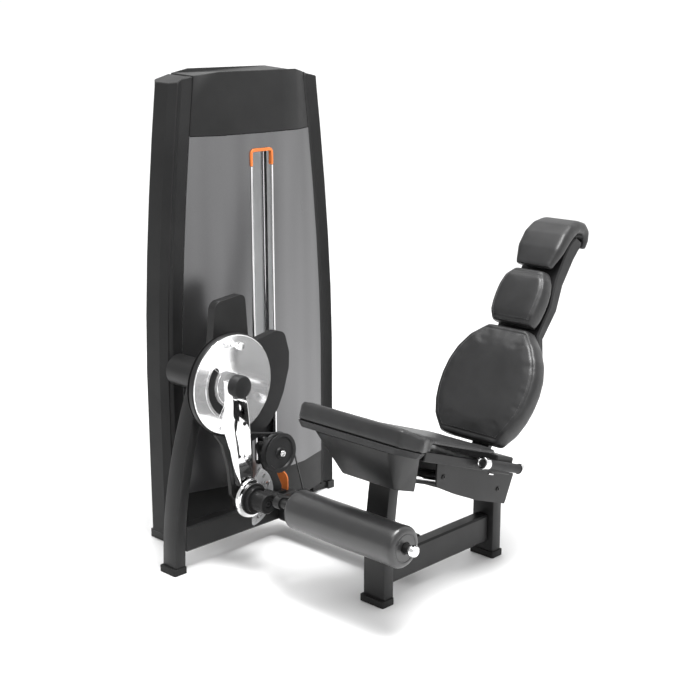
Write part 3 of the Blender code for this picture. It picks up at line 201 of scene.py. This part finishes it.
def ground_bar(name):
    """A centreless ground guide rod: bright, with fine rings round it."""
    finish = Finish(name, Metallic=1.0)
    finish.colour(finish.noise(12.0, 3.0), (0.62, 0.62, 0.63), (0.74, 0.74, 0.75))
    finish.roughness(finish.ramp(finish.noise(60.0, 4.0, stretch=(0.2, 0.2, 6.0)), 0.3, 0.7, 0.13, 0.24))
    finish.bump(finish.noise(260.0, 2.0, stretch=(0.1, 0.1, 8.0)), 0.08, 0.0002)
    return finish.material


def cast_plates(name):
    """Painted cast iron: a pitted skin, with painted shade darkening the colour in the hollows."""
    finish = Finish(name, Metallic=0.25)
    pits = finish.noise(330.0, 5.0)
    # Painted shade: the colour follows the pits' height, darker in the hollows.
    finish.colour(finish.ramp(pits, 0.35, 0.65, 0.0, 1.0), (0.014, 0.014, 0.015), (0.032, 0.032, 0.034))
    finish.roughness(finish.ramp(finish.noise(40.0, 4.0), 0.3, 0.7, 0.38, 0.58))
    finish.bump(pits, 0.45, 0.0006)
    return finish.material


def wire_rope(name, dark=0.008, bright=0.030):
    """Coated wire rope: the lay of the strands shows through the sleeve."""
    finish = Finish(name)
    lay = finish.node("ShaderNodeTexWave", {"Vector": finish.stretched((1.0, 0.55, 0.55)), "Scale": 260.0,
                                            "Distortion": 0.4}, bands_direction="DIAGONAL").outputs["Fac"]
    finish.colour(lay, (dark, dark, dark * 1.05), (bright, bright, bright * 1.03))
    finish.roughness(finish.ramp(lay, 0.0, 1.0, 0.34, 0.50))
    finish.bump(lay, 0.5, 0.0005)
    return finish.material


def upholstery(name):
    """Black coated upholstery: a fine pebble grain with creases between the pebbles."""
    finish = Finish(name, Sheen_Weight=0.02, Sheen_Roughness=0.5, Specular_IOR_Level=0.43)
    pebbles = finish.cells(760.0, "SMOOTH_F1")
    creases = finish.cells(310.0, "DISTANCE_TO_EDGE")
    height = finish.math("ADD", finish.math("MULTIPLY", pebbles, 0.6),
                         finish.math("MULTIPLY", finish.ramp(creases, 0.0, 0.08, 0.0, 1.0), 0.35))
    finish.colour(finish.ramp(finish.noise(14.0, 5.0), 0.3, 0.7, 0.0, 1.0), (0.010, 0.010, 0.0103),
                  (0.016, 0.016, 0.0164))
    finish.roughness(finish.ramp(height, 0.1, 0.9, 0.44, 0.34))
    finish.bump(finish.math("ADD", height, finish.noise(60.0, 3.0)), 0.28, 0.0005)
    return finish.material


def foam_skin(name):
    """Moulded foam: a dense matt skin with small pores."""
    finish = Finish(name, Sheen_Weight=0.04, Sheen_Roughness=0.6, Specular_IOR_Level=0.72)
    pores = finish.ramp(finish.cells(520.0), 0.05, 0.30, 0.0, 1.0)
    finish.colour(finish.ramp(finish.noise(18.0, 4.0), 0.3, 0.7, 0.0, 1.0), (0.008, 0.008, 0.0083),
                  (0.012, 0.012, 0.0124))
    finish.roughness(finish.ramp(finish.noise(24.0, 4.0), 0.3, 0.7, 0.28, 0.36))
    skin = finish.math("ADD", finish.math("MULTIPLY", pores, 0.5), finish.noise(900.0, 2.0))
    finish.bump(skin, 0.20, 0.0003)
    return finish.material


def thread(name):
    finish = Finish(name)
    twist = finish.node("ShaderNodeTexWave", {"Vector": finish.place, "Scale": 900.0},
                        bands_direction="DIAGONAL").outputs["Fac"]
    finish.colour(twist, (0.020, 0.020, 0.021), (0.062, 0.062, 0.064))
    finish.roughness(finish.ramp(twist, 0.0, 1.0, 0.55, 0.75))
    finish.bump(twist, 0.5, 0.0002)
    return finish.material


PAINT = powder_coat("black_powder_coat")
PAINT_TOWER = powder_coat("black_tower_coat", shade=0.011, low=0.36, high=0.46, specular=0.20)
PLASTIC = moulded("black_moulded_plastic")
RUBBER = moulded("black_rubber", (0.009, 0.009, 0.009), 0.60, 0.78, grain=700.0, strength=0.5)
GRIP_RUBBER = moulded("grip_rubber", (0.010, 0.010, 0.0105), 0.46, 0.60, grain=520.0, strength=0.7)
ORANGE = moulded("orange_plastic", (0.58, 0.155, 0.036), 0.36, 0.48, grain=1300.0, strength=0.2)
SILVER = satin_sheet("silver_skin")
FROSTED = frosted("frosted_rear_cover")
CHROME = polished("polished_chrome")
# Painted reflection: the disc plate is only partly metallic, so its near-white base colour adds a diffuse
# white that stands in for the white studio reflected in the chrome.
DISC_PLATE = polished("polished_disc_plate", 0.05, 0.10, 0.95, metallic=0.74)
BRIGHT_SCREW = polished("bright_screw", 0.10, 0.20, 0.80)
SATIN = satin_steel("satin_steel")
ROD = ground_bar("ground_guide_rod")
PLATES = cast_plates("cast_weight_plates")
ROPE = wire_rope("coated_wire_rope")
PALE_ROPE = wire_rope("clear_coated_wire_rope", 0.20, 0.42)
LEATHER = upholstery("black_upholstery")
FOAM = foam_skin("black_foam_skin")
THREAD = thread("dark_thread")

BY_SLOT = {"black_paint": PAINT, "black_plastic": PLASTIC, "silver_sheet": SILVER, "chrome": CHROME,
           "orange_plastic": ORANGE, "black_leather": LEATHER, "black_foam": FOAM, "rubber": RUBBER,
           "plate_steel": PLATES, "cable_steel": ROPE}
BY_NODE = {"tower_back": FROSTED, "guide_rod_left": ROD, "guide_rod_right": ROD,
           "cable_lift": PALE_ROPE, "cable_run": PALE_ROPE,
           "grip_left": GRIP_RUBBER, "grip_right": GRIP_RUBBER, "index_sector": SATIN, "arm_disc": DISC_PLATE,
           "tower_side_left": PAINT_TOWER, "tower_side_right": PAINT_TOWER, "tower_header": PAINT_TOWER,
           "tower_kick_panel": PAINT_TOWER}


def dress_nodes():
    """Give every CAD node its finish, joined and shaded smooth across its small facets."""
    slots = {part["node"]: part["material_slot"] for part in frame["record"]["subparts"]}
    for name, node in NODES.items():
        finish = BY_NODE.get(name) or BY_SLOT[slots[name]]
        node.data.materials.clear()
        node.data.materials.append(finish)
        node.data.polygons.foreach_set("material_index", [0] * len(node.data.polygons))
        soften(node)


def soften(obj):
    """Shade smooth, with steep edges kept crisp by splitting them."""
    if "custom_normal" in obj.data.attributes:
        obj.data.attributes.remove(obj.data.attributes["custom_normal"])
    obj.data.shade_smooth()
    weld = obj.modifiers.new("join_facets", "WELD")
    weld.merge_threshold = 0.00002
    split = obj.modifiers.new("crisp_edges", "EDGE_SPLIT")
    split.split_angle = math.radians(CRISP_ANGLE)
    split.use_edge_sharp = False


# ---------------------------------------------------------------- mesh tools
def add_piece(name, bm, finish, body):
    """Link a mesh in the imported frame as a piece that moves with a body."""
    mesh = bpy.data.meshes.new(name)
    bmesh.ops.recalc_face_normals(bm, faces=bm.faces)
    bm.to_mesh(mesh)
    bm.free()
    mesh.materials.append(finish)
    mesh.shade_smooth()
    mesh.set_sharp_from_angle(angle=math.radians(FITTING_ANGLE))
    obj = bpy.data.objects.new(name, mesh)
    bpy.context.scene.collection.objects.link(obj)
    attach(obj, body)
    return obj


def frame_on(centre, axis):
    """A matrix with local Z along the axis."""
    turn = Vector(axis).to_track_quat("Z", "Y").to_matrix().to_4x4()
    return Matrix.Translation(centre) @ turn


def hexagon(angle, radius):
    """The radius of a hexagon at an angle, flat to flat twice the given radius."""
    return radius / math.cos((angle + math.pi / 6) % (math.pi / 3) - math.pi / 6)


def revolve(bm, matrix, profile, steps=32):
    """Turn (radius, height, is_hex) points round local Z; a zero radius closes the end."""
    rings = []
    for radius, height, is_hex in profile:
        if radius == 0.0:
            rings.append([bm.verts.new(matrix @ Vector((0.0, 0.0, height)))])
            continue
        ring = []
        for i in range(steps):
            angle = 2 * math.pi * i / steps
            r = hexagon(angle, radius) if is_hex else radius
            ring.append(bm.verts.new(matrix @ Vector((r * math.cos(angle), r * math.sin(angle), height))))
        rings.append(ring)
    for low, high in zip(rings, rings[1:]):
        for i in range(steps):
            j = (i + 1) % steps
            if len(low) == 1:
                bm.faces.new((low[0], high[i], high[j]))
            elif len(high) == 1:
                bm.faces.new((low[i], low[j], high[0]))
            else:
                bm.faces.new((low[i], low[j], high[j], high[i]))


def screw_head(bm, centre, axis, radius, height):
    """A domed socket screw with its hexagon recess, standing on a face."""
    r, h = radius, height
    profile = [(r * 0.9, 0.0, False), (r, h * 0.12, False), (r, h * 0.45, False), (r * 0.94, h * 0.70, False),
               (r * 0.80, h * 0.90, False), (r * 0.62, h, False), (r * 0.46, h, True),
               (r * 0.44, h * 0.92, True), (r * 0.42, h * 0.35, True), (0.0, h * 0.28, False)]
    revolve(bm, frame_on(centre, axis), profile, 36)


def washer(bm, centre, axis, radius, thickness, bore):
    profile = [(bore, 0.0, False), (radius * 0.96, 0.0, False), (radius, thickness * 0.3, False),
               (radius, thickness * 0.7, False), (radius * 0.96, thickness, False), (bore, thickness, False)]
    revolve(bm, frame_on(centre, axis), profile, 36)


def tube_along(bm, points, radius, closed=False, sides=8):
    """A round tube through points, as a mesh."""
    count = len(points)
    rings = []
    for i, point in enumerate(points):
        before = points[i - 1] if closed or i else points[0]
        after = points[(i + 1) % count] if closed or i < count - 1 else points[-1]
        along = (Vector(after) - Vector(before)).normalized()
        side = along.cross(Vector((0.31, 0.17, 0.93))).normalized()
        up = side.cross(along)
        rings.append([bm.verts.new(Vector(point) + radius * (math.cos(a) * side + math.sin(a) * up))
                      for a in (2 * math.pi * k / sides for k in range(sides))])
    last = count if closed else count - 1
    for i in range(last):
        low, high = rings[i], rings[(i + 1) % count]
        for k in range(sides):
            bm.faces.new((low[k], low[(k + 1) % sides], high[(k + 1) % sides], high[k]))
    if not closed:
        bm.faces.new(rings[0])
        bm.faces.new(rings[-1])


def rounded_bar(bm, low, high, radius):
    """A bar with rounded long edges between two corners, longest along Z."""
    (x0, y0, z0), (x1, y1, z1) = low, high
    outline = []
    for cx, cy, start in ((x1 - radius, y1 - radius, 0.0), (x0 + radius, y1 - radius, 90.0),
                          (x0 + radius, y0 + radius, 180.0), (x1 - radius, y0 + radius, 270.0)):
        for k in range(4):
            angle = math.radians(start + 30.0 * k)
            outline.append((cx + radius * math.cos(angle), cy + radius * math.sin(angle)))
    rings, ease = [], radius * 0.4
    for z, inset in ((z0, ease), (z0 + ease, 0.0), (z1 - ease, 0.0), (z1, ease)):
        middle = Vector(((x0 + x1) / 2, (y0 + y1) / 2, z))
        shrink = 1.0 - inset / min(x1 - x0, y1 - y0)
        rings.append([bm.verts.new(middle + shrink * (Vector((x, y, z)) - middle)) for x, y in outline])
    count = len(outline)
    for a, b in zip(rings, rings[1:]):
        for k in range(count):
            bm.faces.new((a[k], a[(k + 1) % count], b[(k + 1) % count], b[k]))
    bm.faces.new(rings[0])
    bm.faces.new(rings[-1])


def tree_of(obj):
    """A search tree of an object's mesh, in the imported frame."""
    mesh = obj.data
    return BVHTree.FromPolygons([v.co for v in mesh.vertices], [p.vertices for p in mesh.polygons])


def land_on(node, start, direction):
    """Where a ray first meets a CAD node."""
    point, normal, _, _ = tree_of(NODES[node]).ray_cast(Vector(start), Vector(direction).normalized())
    return point, normal


def drive_screw(bm, node, start, direction, radius, height):
    """Stand a socket screw on a CAD node where the ray meets it."""
    point, normal = land_on(node, start, direction)
    if point is not None:
        screw_head(bm, point + normal * STAND_OFF, normal, radius, height)


# ---------------------------------------------------------------- upholstery
def pad_mesh(node, voxel):
    """A remeshed copy of a plain CAD cushion, which relaxing draws in a little so that it can swell."""
    mesh = NODES[node].data.copy()
    obj = bpy.data.objects.new(f"{node}_cover", mesh)
    bpy.context.scene.collection.objects.link(obj)
    weld = obj.modifiers.new("weld", "WELD")
    weld.merge_threshold = 0.0001
    remesh = obj.modifiers.new("remesh", "REMESH")
    remesh.mode = "VOXEL"
    remesh.voxel_size = voxel
    apply_modifiers(obj)
    relax(obj.data, 2)
    return obj


def apply_modifiers(obj):
    depsgraph = bpy.context.evaluated_depsgraph_get()
    made = bpy.data.meshes.new_from_object(obj.evaluated_get(depsgraph))
    obj.modifiers.clear()
    obj.data = made


def relax(mesh, rounds):
    """Even out the voxel steps by moving each point towards its neighbours' middle."""
    bm = bmesh.new()
    bm.from_mesh(mesh)
    for _ in range(rounds):
        bmesh.ops.smooth_vert(bm, verts=bm.verts, factor=0.5,
                              use_axis_x=True, use_axis_y=True, use_axis_z=True)
    bm.to_mesh(mesh)
    bm.free()
    mesh.update()


def stuff(covers):
    """Swell the covers by cloth simulation, pinned where they lie on their boards."""
    scene = bpy.context.scene
    scene.frame_start, scene.frame_end = 1, CLOTH_FRAMES
    for obj, board in covers:
        group = obj.vertex_groups.new(name="board")
        held = [v.index for v in obj.data.vertices if v.normal.dot(board) > 0.6]
        group.add(held, 1.0, "REPLACE")
        cloth = obj.modifiers.new("cloth", "CLOTH")
        cloth.settings.quality = 4
        cloth.settings.use_pressure = True
        cloth.settings.uniform_pressure_force = 1.4
        cloth.settings.effector_weights.gravity = 0.0
        cloth.settings.tension_stiffness = 25.0
        cloth.settings.compression_stiffness = 25.0
        cloth.settings.shear_stiffness = 12.0
        cloth.settings.bending_stiffness = 12.0
        cloth.settings.vertex_group_mass = "board"
        cloth.collision_settings.use_collision = False
        cloth.point_cache.frame_start, cloth.point_cache.frame_end = 1, CLOTH_FRAMES
    for number in range(1, CLOTH_FRAMES + 1):
        scene.frame_set(number)
    depsgraph = bpy.context.evaluated_depsgraph_get()
    for obj, _ in covers:
        swollen = obj.evaluated_get(depsgraph).to_mesh()
        moved = [v.co.copy() for v in swollen.vertices]
        obj.evaluated_get(depsgraph).to_mesh_clear()
        obj.modifiers.clear()
        obj.vertex_groups.clear()
        for vertex, there in zip(obj.data.vertices, moved):
            shift = there - vertex.co
            if shift.length > PAD_SWELL:
                shift *= PAD_SWELL / shift.length
            vertex.co += shift
        obj.data.update()
    scene.frame_set(1)


def refine(obj):
    """One subdivision for a smooth skin."""
    level = obj.modifiers.new("smooth", "SUBSURF")
    level.levels = level.render_levels = 1
    apply_modifiers(obj)


def outline_of(node, plane, inset, spacing=0.005):
    """The node's outline in a plane, as evenly spaced local (u, v) points drawn in from the edge."""
    inverse = plane.inverted()
    flat = (inverse @ v.co for v in NODES[node].data.vertices)
    points = sorted({(round(p.x, 5), round(p.y, 5)) for p in flat})

    def chain(items):
        line = []
        for p in items:
            while len(line) > 1 and ((line[-1][0] - line[-2][0]) * (p[1] - line[-2][1])
                                     - (line[-1][1] - line[-2][1]) * (p[0] - line[-2][0])) <= 1e-9:
                line.pop()
            line.append(p)
        return line[:-1]

    hull = [Vector((*p, 0.0)) for p in chain(points) + chain(points[::-1])]
    length = sum((hull[i] - hull[i - 1]).length for i in range(len(hull)))
    count = int(length / spacing)
    even = []
    for k in range(count):
        target, walked = length * k / count, 0.0
        for i in range(len(hull)):
            a, b = hull[i], hull[(i + 1) % len(hull)]
            step = (b - a).length
            if walked + step >= target:
                even.append(a.lerp(b, (target - walked) / step))
                break
            walked += step
    drawn = []
    for i in range(count):
        along = (even[(i + 2) % count] - even[i - 2]).normalized()
        drawn.append(even[i] + inset * Vector((-along.y, along.x, 0.0)))
    for _ in range(6):
        drawn = [(drawn[i - 1] + drawn[i] * 2 + drawn[(i + 1) % count]) / 4 for i in range(count)]
    return drawn


def seam_on(obj, node, plane, inset):
    """The outline cast onto the cover from outside: points of the surface and its normals."""
    tree, found = tree_of(obj), []
    out = (plane.to_3x3() @ Vector((0.0, 0.0, 1.0))).normalized()
    for local in outline_of(node, plane, inset):
        start = plane @ local + out * 0.5
        point, normal, _, _ = tree.ray_cast(start, -out)
        if point is not None:
            found.append((point, normal))
    return found


def sew(obj, node, body, plane, inset):
    """Press a sewn seam into the cover, and lay its stitches beside it."""
    seam = seam_on(obj, node, plane, inset)
    near = kdtree.KDTree(len(seam))
    for i, (point, _) in enumerate(seam):
        near.insert(point, i)
    near.balance()
    normals = [v.normal.copy() for v in obj.data.vertices]
    for vertex, normal in zip(obj.data.vertices, normals):
        _, _, distance = near.find(vertex.co)
        if distance < 3 * SEAM_WIDTH:
            vertex.co -= normal * SEAM_DEPTH * math.exp(-((distance / SEAM_WIDTH) ** 2))
    obj.data.update()
    middle = sum((p for p, _ in seam), Vector()) / len(seam)
    tree = tree_of(obj)
    bm = bmesh.new()
    count = len(seam)
    for i in range(0, count, 2):
        point, normal = seam[i]
        along = (seam[(i + 1) % count][0] - seam[i - 1][0]).normalized()
        across = normal.cross(along).normalized()
        if across.dot(middle - point) < 0:
            across = -across
        at, surface, _, _ = tree.find_nearest(point + across * STITCH_INSET)
        if at is None:
            continue
        stitch = [at + along * s * STITCH_HALF_LENGTH + surface * h for s, h in
                  ((-1.0, -0.0004), (-0.6, 0.0002), (0.0, 0.0004), (0.6, 0.0002), (1.0, -0.0004))]
        tube_along(bm, stitch, STITCH_RADIUS, sides=6)
    add_piece(f"{node}_stitches", bm, THREAD, body)


def finish_pad(obj, node, body):
    """Hand the cover to its body in place of the plain CAD pad."""
    obj.data.materials.clear()
    obj.data.materials.append(LEATHER)
    obj.data.shade_smooth()
    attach(obj, body)
    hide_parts(node)


def upholster():
    """The seat and the three back cushions."""
    behind = (BACK.to_3x3() @ Vector((0.0, 1.0, 0.0))).normalized()
    below = (SEAT.to_3x3() @ Vector((0.0, 0.0, -1.0))).normalized()
    back_face = BACK @ Matrix.Rotation(math.radians(90.0), 4, "X")
    # node, its body, the way to its board, the remesh size, the seam's plane and its inset from the edge
    plans = [("seat_pad", "frame", below, 0.0060, SEAT, 0.016),
             ("back_pad", "carriage", behind, 0.0060, back_face, 0.017),
             ("shoulder_pad", "carriage", behind, 0.0050, back_face, 0.014),
             ("head_pad", "carriage", behind, 0.0050, None, None)]
    covers = [(pad_mesh(node, voxel), board) for node, _, board, voxel, _, _ in plans]
    stuff(covers)
    for (obj, _), (node, body, _, _, plane, inset) in zip(covers, plans):
        relax(obj.data, 2)
        refine(obj)
        if plane is not None:
            sew(obj, node, body, plane, inset)
        finish_pad(obj, node, body)


def roller():
    """The ankle roller: a moulded foam sleeve with soft ends and a groove round its end face."""
    low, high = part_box("roller_foam")
    centre = (low + high) / 2
    radius, length = (high.z - low.z) / 2, high.x - low.x
    soft, bore, groove = 0.017, 0.0195, radius * 0.66
    edge = [(math.sin(math.radians(a)), 1 - math.cos(math.radians(a))) for a in range(0, 91, 15)]
    far = [(radius - soft + soft * s, length - soft * c) for s, c in edge]
    near = [(radius - soft + soft * s, soft * c) for s, c in edge]
    face = [(bore, length), (groove - 0.003, length), (groove - 0.0008, length - 0.0016),
            (groove + 0.0008, length - 0.0016), (groove + 0.003, length)]
    middle = [(radius - dip, length * t) for t, dip in
              ((0.92, 0.0006), (0.75, 0.0006), (0.5, -0.0002), (0.25, 0.0006), (0.08, 0.0006))]
    back = [(groove + 0.003, 0.0), (bore, 0.0), (bore, length)]
    bm = bmesh.new()
    profile = [(r, h, False) for r, h in face + far + middle + near[::-1] + back]
    revolve(bm, frame_on(Vector((low.x, centre.y, centre.z)), (1.0, 0.0, 0.0)), profile, 72)
    bmesh.ops.remove_doubles(bm, verts=bm.verts, dist=WELD)
    obj = add_piece("roller_sleeve", bm, FOAM, "roller")
    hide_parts("roller_foam")


# ---------------------------------------------------------------- small fittings
def slot_edges():
    """Bright edge strips down both sides of the tower's slot."""
    trim_low, trim_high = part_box("slot_trim")
    middle, foot, head = (trim_low.y + trim_high.y) / 2, 0.236, trim_low.z - 0.0005
    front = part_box("tower_shroud")[1].x
    bm = bmesh.new()
    for side in (-1, 1):
        y0, y1 = sorted((middle + side * 0.0440, middle + side * 0.0512))
        rounded_bar(bm, (front - 0.010, y0, foot), (front + 0.003, y1, head), 0.0022)
    add_piece("slot_edge_strips", bm, CHROME, "frame")


def stack_buffers():
    """Rubber rings under the stack, round the guide rods."""
    bm = bmesh.new()
    top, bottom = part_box("weight_stack")[0].z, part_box("tower_base")[1].z
    for rod in ("guide_rod_left", "guide_rod_right"):
        low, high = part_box(rod)
        centre = Vector(((low.x + high.x) / 2, (low.y + high.y) / 2, bottom + 0.0003))
        h, bore = top - bottom - 0.0008, 0.0116
        profile = [(bore, 0.0, False), (0.0215, 0.0, False), (0.0240, 0.003, False), (0.0240, h * 0.4, False),
                   (0.0225, h * 0.5, False), (0.0240, h * 0.6, False), (0.0240, h - 0.003, False),
                   (0.0215, h, False), (bore, h, False), (bore, 0.0, False)]
        revolve(bm, frame_on(centre, (0.0, 0.0, 1.0)), profile, 36)
    bmesh.ops.remove_doubles(bm, verts=bm.verts, dist=WELD)
    add_piece("stack_buffers", bm, RUBBER, "frame")


def frame_screws():
    """Socket screws on the fixed frame: the pulley's axle and the cross beam."""
    bm = bmesh.new()
    low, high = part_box("low_pulley")
    axle = (low + high) / 2
    axle.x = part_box("pulley_bracket")[1].x + STAND_OFF
    screw_head(bm, axle, (1, 0, 0), 0.0115, 0.008)
    add_piece("pulley_screw", bm, BRIGHT_SCREW, "frame")
    bm = bmesh.new()
    for x, y in ((0.21935, -0.0645), (0.2096, -0.032)):
        drive_screw(bm, "cross_beam", (x - CENTRE.x, y - CENTRE.y, 0.5), (0, 0, -1), 0.0065, 0.0045)
    add_piece("beam_screws", bm, PLASTIC, "frame")


def arm_fittings():
    """Nuts and pins on the polished disc, the raised line round its window, and the lever's screw."""
    bm = bmesh.new()
    for y, z in ((0.046, 0.004), (0.046, -0.030)):
        centre = Vector((DISC_FACE + STAND_OFF, PIVOT.y + y, PIVOT.z + z))
        washer(bm, centre, (1, 0, 0), 0.0115, 0.0015, 0.004)
        screw_head(bm, centre + Vector((0.0016, 0, 0)), (1, 0, 0), 0.0085, 0.008)
    lug, collar = Vector((DISC_FACE + STAND_OFF, PIVOT.y - 0.028, PIVOT.z + 0.140)), 0.004
    washer(bm, lug, (1, 0, 0), 0.0120, collar, 0.004)
    revolve(bm, frame_on(lug + Vector((collar + STAND_OFF, 0, 0)), (1, 0, 0)),
            [(0.0, 0.0, False), (0.0085, 0.0, True), (0.0088, 0.001, True), (0.0088, 0.007, True),
             (0.0082, 0.008, True), (0.0050, 0.008, False), (0.0050, 0.014, False), (0.0042, 0.0155, False),
             (0.0, 0.016, False)], 36)
    small = Vector((DISC_FACE + STAND_OFF, PIVOT.y - 0.066, PIVOT.z - 0.132))
    screw_head(bm, small, (1, 0, 0), 0.0075, 0.006)
    add_piece("disc_nuts", bm, BRIGHT_SCREW, "leg_arm")
    bm = bmesh.new()
    line, steps = [], 24
    for radius, start, end in ((0.116, 139.0, 236.0), (0.068, 236.0, 139.0)):
        for k in range(steps + 1):
            angle = math.radians(start + (end - start) * k / steps)
            line.append(Vector((DISC_FACE + 0.0004, PIVOT.y + radius * math.cos(angle),
                                PIVOT.z + radius * math.sin(angle))))
    tube_along(bm, line, 0.0007, closed=True, sides=6)
    add_piece("window_line", bm, CHROME, "leg_arm")
    bm = bmesh.new()
    start = (0.4 - CENTRE.x, PIVOT.y + 0.020, PIVOT.z - 0.130)
    drive_screw(bm, "arm_lever", start, (-1, 0, 0), 0.0070, 0.0035)
    add_piece("lever_screw", bm, PLASTIC, "leg_arm")


def crank_fittings():
    """The socket screw in the crank hub's end."""
    start = (0.6 - CENTRE.x, PIVOT.y + 0.032, PIVOT.z - 0.387)
    bm = bmesh.new()
    drive_screw(bm, "crank", start, (-1, 0, 0), 0.0115, 0.0065)
    add_piece("crank_screw", bm, PLASTIC, "crank")


def grip_ends():
    """Bright caps behind the hand grips, and bright rings round black plugs at their front ends."""
    along = (SEAT.to_3x3() @ Vector((0.0, 1.0, 0.0))).normalized()
    caps, plugs = bmesh.new(), bmesh.new()
    for side in (-1, 1):
        rear = SEAT @ Vector((side * GRIP_X, GRIP_REAR_Y, GRIP_Z))
        revolve(caps, frame_on(rear, along),
                [(0.0, 0.0, False), (0.0170, 0.0, False), (0.0182, 0.0015, False), (0.0182, 0.0125, False),
                 (0.0165, 0.0150, False), (0.0120, 0.0160, False), (0.0105, 0.0130, False),
                 (0.0, 0.0120, False)], 36)
        front = SEAT @ Vector((side * GRIP_X, GRIP_FRONT_Y, GRIP_Z))
        revolve(caps, frame_on(front, -along),
                [(0.0130, 0.0, False), (0.0195, 0.0, False), (0.0205, 0.0010, False), (0.0205, 0.0060, False),
                 (0.0190, 0.0080, False), (0.0150, 0.0088, False), (0.0130, 0.0075, False),
                 (0.0130, 0.0, False)], 36)
        revolve(plugs, frame_on(front, -along),
                [(0.0, 0.0003, False), (0.0120, 0.0003, False), (0.0126, 0.0015, False),
                 (0.0122, 0.0045, False), (0.0080, 0.0058, False), (0.0, 0.0060, False)], 36)
    bmesh.ops.remove_doubles(caps, verts=caps.verts, dist=WELD)
    add_piece("grip_caps", caps, BRIGHT_SCREW, "carriage")
    add_piece("grip_plugs", plugs, PLASTIC, "carriage")


def carriage_fittings():
    """Screws in the carriage's side plates, and a small bright latch pin on each side under the deck."""
    bm = bmesh.new()
    for side in (-1, 1):
        for y, z in ((0.3993, -0.135), (0.702, -0.149)):
            drive_screw(bm, "carriage", SEAT @ Vector((side * 0.5, y, z)), (-side, 0, 0), 0.0085, 0.0035)
    add_piece("carriage_screws", bm, PAINT, "carriage")
    bm = bmesh.new()
    for side in (-1, 1):
        points = [SEAT @ Vector((side * 0.1275, 0.575 + 0.008 * k, -0.0985)) for k in range(4)]
        tube_along(bm, points, 0.0035, sides=12)
    add_piece("carriage_latches", bm, CHROME, "carriage")


# ---------------------------------------------------------------- floor, lights and camera
FLOOR_RADIUS, FLOOR_DROP = 60.0, 0.0006
DARK_SIDE, PALE_SIDE = 0.66, 1.03             # the world's strength in front of the machine and behind it
LIGHTS_AIM = Vector((0.0, 0.0, 0.6))
CAMERA_PLACE = Vector((3.35405, -3.09044, 1.80671)) - CENTRE
CAMERA_AZIMUTH, CAMERA_ELEVATION, CAMERA_LENS = 44.03, 14.31, 68.56


def floor():
    """A round pale floor under the feet."""
    bm = bmesh.new()
    bmesh.ops.create_circle(bm, cap_ends=True, segments=96, radius=FLOOR_RADIUS)
    mesh = bpy.data.meshes.new("floor")
    bm.to_mesh(mesh)
    bm.free()
    obj = bpy.data.objects.new("floor", mesh)
    obj.location = (0.0, 0.0, -FLOOR_DROP)
    bpy.context.scene.collection.objects.link(obj)
    finish = Finish("pale_floor")
    tone = finish.ramp(finish.noise(1.3, 4.0), 0.3, 0.7, 0.0, 1.0)
    finish.colour(tone, (0.80, 0.80, 0.80), (0.82, 0.82, 0.82))
    finish.roughness(finish.ramp(finish.noise(2.0, 3.0), 0.3, 0.7, 0.55, 0.65))
    mesh.materials.append(finish.material)


def studio():
    """White surroundings that fall off a little on the side in front of the machine."""
    world = bpy.data.worlds.new("studio")
    world.use_nodes = True
    nodes, links = world.node_tree.nodes, world.node_tree.links
    nodes["Background"].inputs["Color"].default_value = (1.0, 1.0, 1.0, 1.0)
    way = nodes.new("ShaderNodeVectorMath")
    way.operation = "DOT_PRODUCT"
    way.inputs[1].default_value = (0.36, 0.93, 0.0)
    links.new(nodes.new("ShaderNodeTexCoord").outputs["Generated"], way.inputs[0])
    fall = nodes.new("ShaderNodeMapRange")
    fall.interpolation_type = "SMOOTHSTEP"
    for socket, value in (("From Min", -0.40), ("From Max", 0.12),
                          ("To Min", DARK_SIDE), ("To Max", PALE_SIDE)):
        fall.inputs[socket].default_value = value
    links.new(way.outputs["Value"], fall.inputs["Value"])
    links.new(fall.outputs["Result"], nodes["Background"].inputs["Strength"])
    bpy.context.scene.world = world
    bpy.context.scene.view_settings.view_transform = "Standard"


def aimed(name, kind, place, power):
    """A light that points at the middle of the machine."""
    light = bpy.data.lights.new(name, kind)
    light.energy = power
    lamp = bpy.data.objects.new(name, light)
    lamp.location = place
    lamp.rotation_euler = (LIGHTS_AIM - Vector(place)).to_track_quat("-Z", "Y").to_euler()
    bpy.context.scene.collection.objects.link(lamp)
    return light


def lights():
    """A wide overhead sun, with three soft area lights for the highlights."""
    aimed("overhead", "SUN", (-0.5, -0.4, 4.0), 1.95).angle = math.radians(50.0)
    for name, place, size, power in (("key", (2.8, -3.0, 3.2), 1.8, 22.0),
                                     ("rim", (1.6, 3.4, 3.0), 3.0, 12.0),
                                     ("top", (0.9, -0.4, 3.4), 1.2, 130.0)):
        light = aimed(name, "AREA", place, power)
        light.shape, light.size = "SQUARE", size


def camera():
    data = bpy.data.cameras.new("camera")
    data.sensor_width, data.lens = 36.0, CAMERA_LENS
    data.clip_end = 100.0
    obj = bpy.data.objects.new("camera", data)
    azimuth, elevation = math.radians(CAMERA_AZIMUTH), math.radians(CAMERA_ELEVATION)
    back = Vector((math.sin(azimuth) * math.cos(elevation), -math.cos(azimuth) * math.cos(elevation),
                   math.sin(elevation)))
    obj.location = CAMERA_PLACE
    obj.rotation_euler = back.to_track_quat("Z", "Y").to_euler()
    bpy.context.scene.collection.objects.link(obj)
    bpy.context.scene.camera = obj


camera()
floor()
studio()
lights()
dress_nodes()
upholster()
roller()
slot_edges()
stack_buffers()
frame_screws()
arm_fittings()
crank_fittings()
grip_ends()
carriage_fittings()
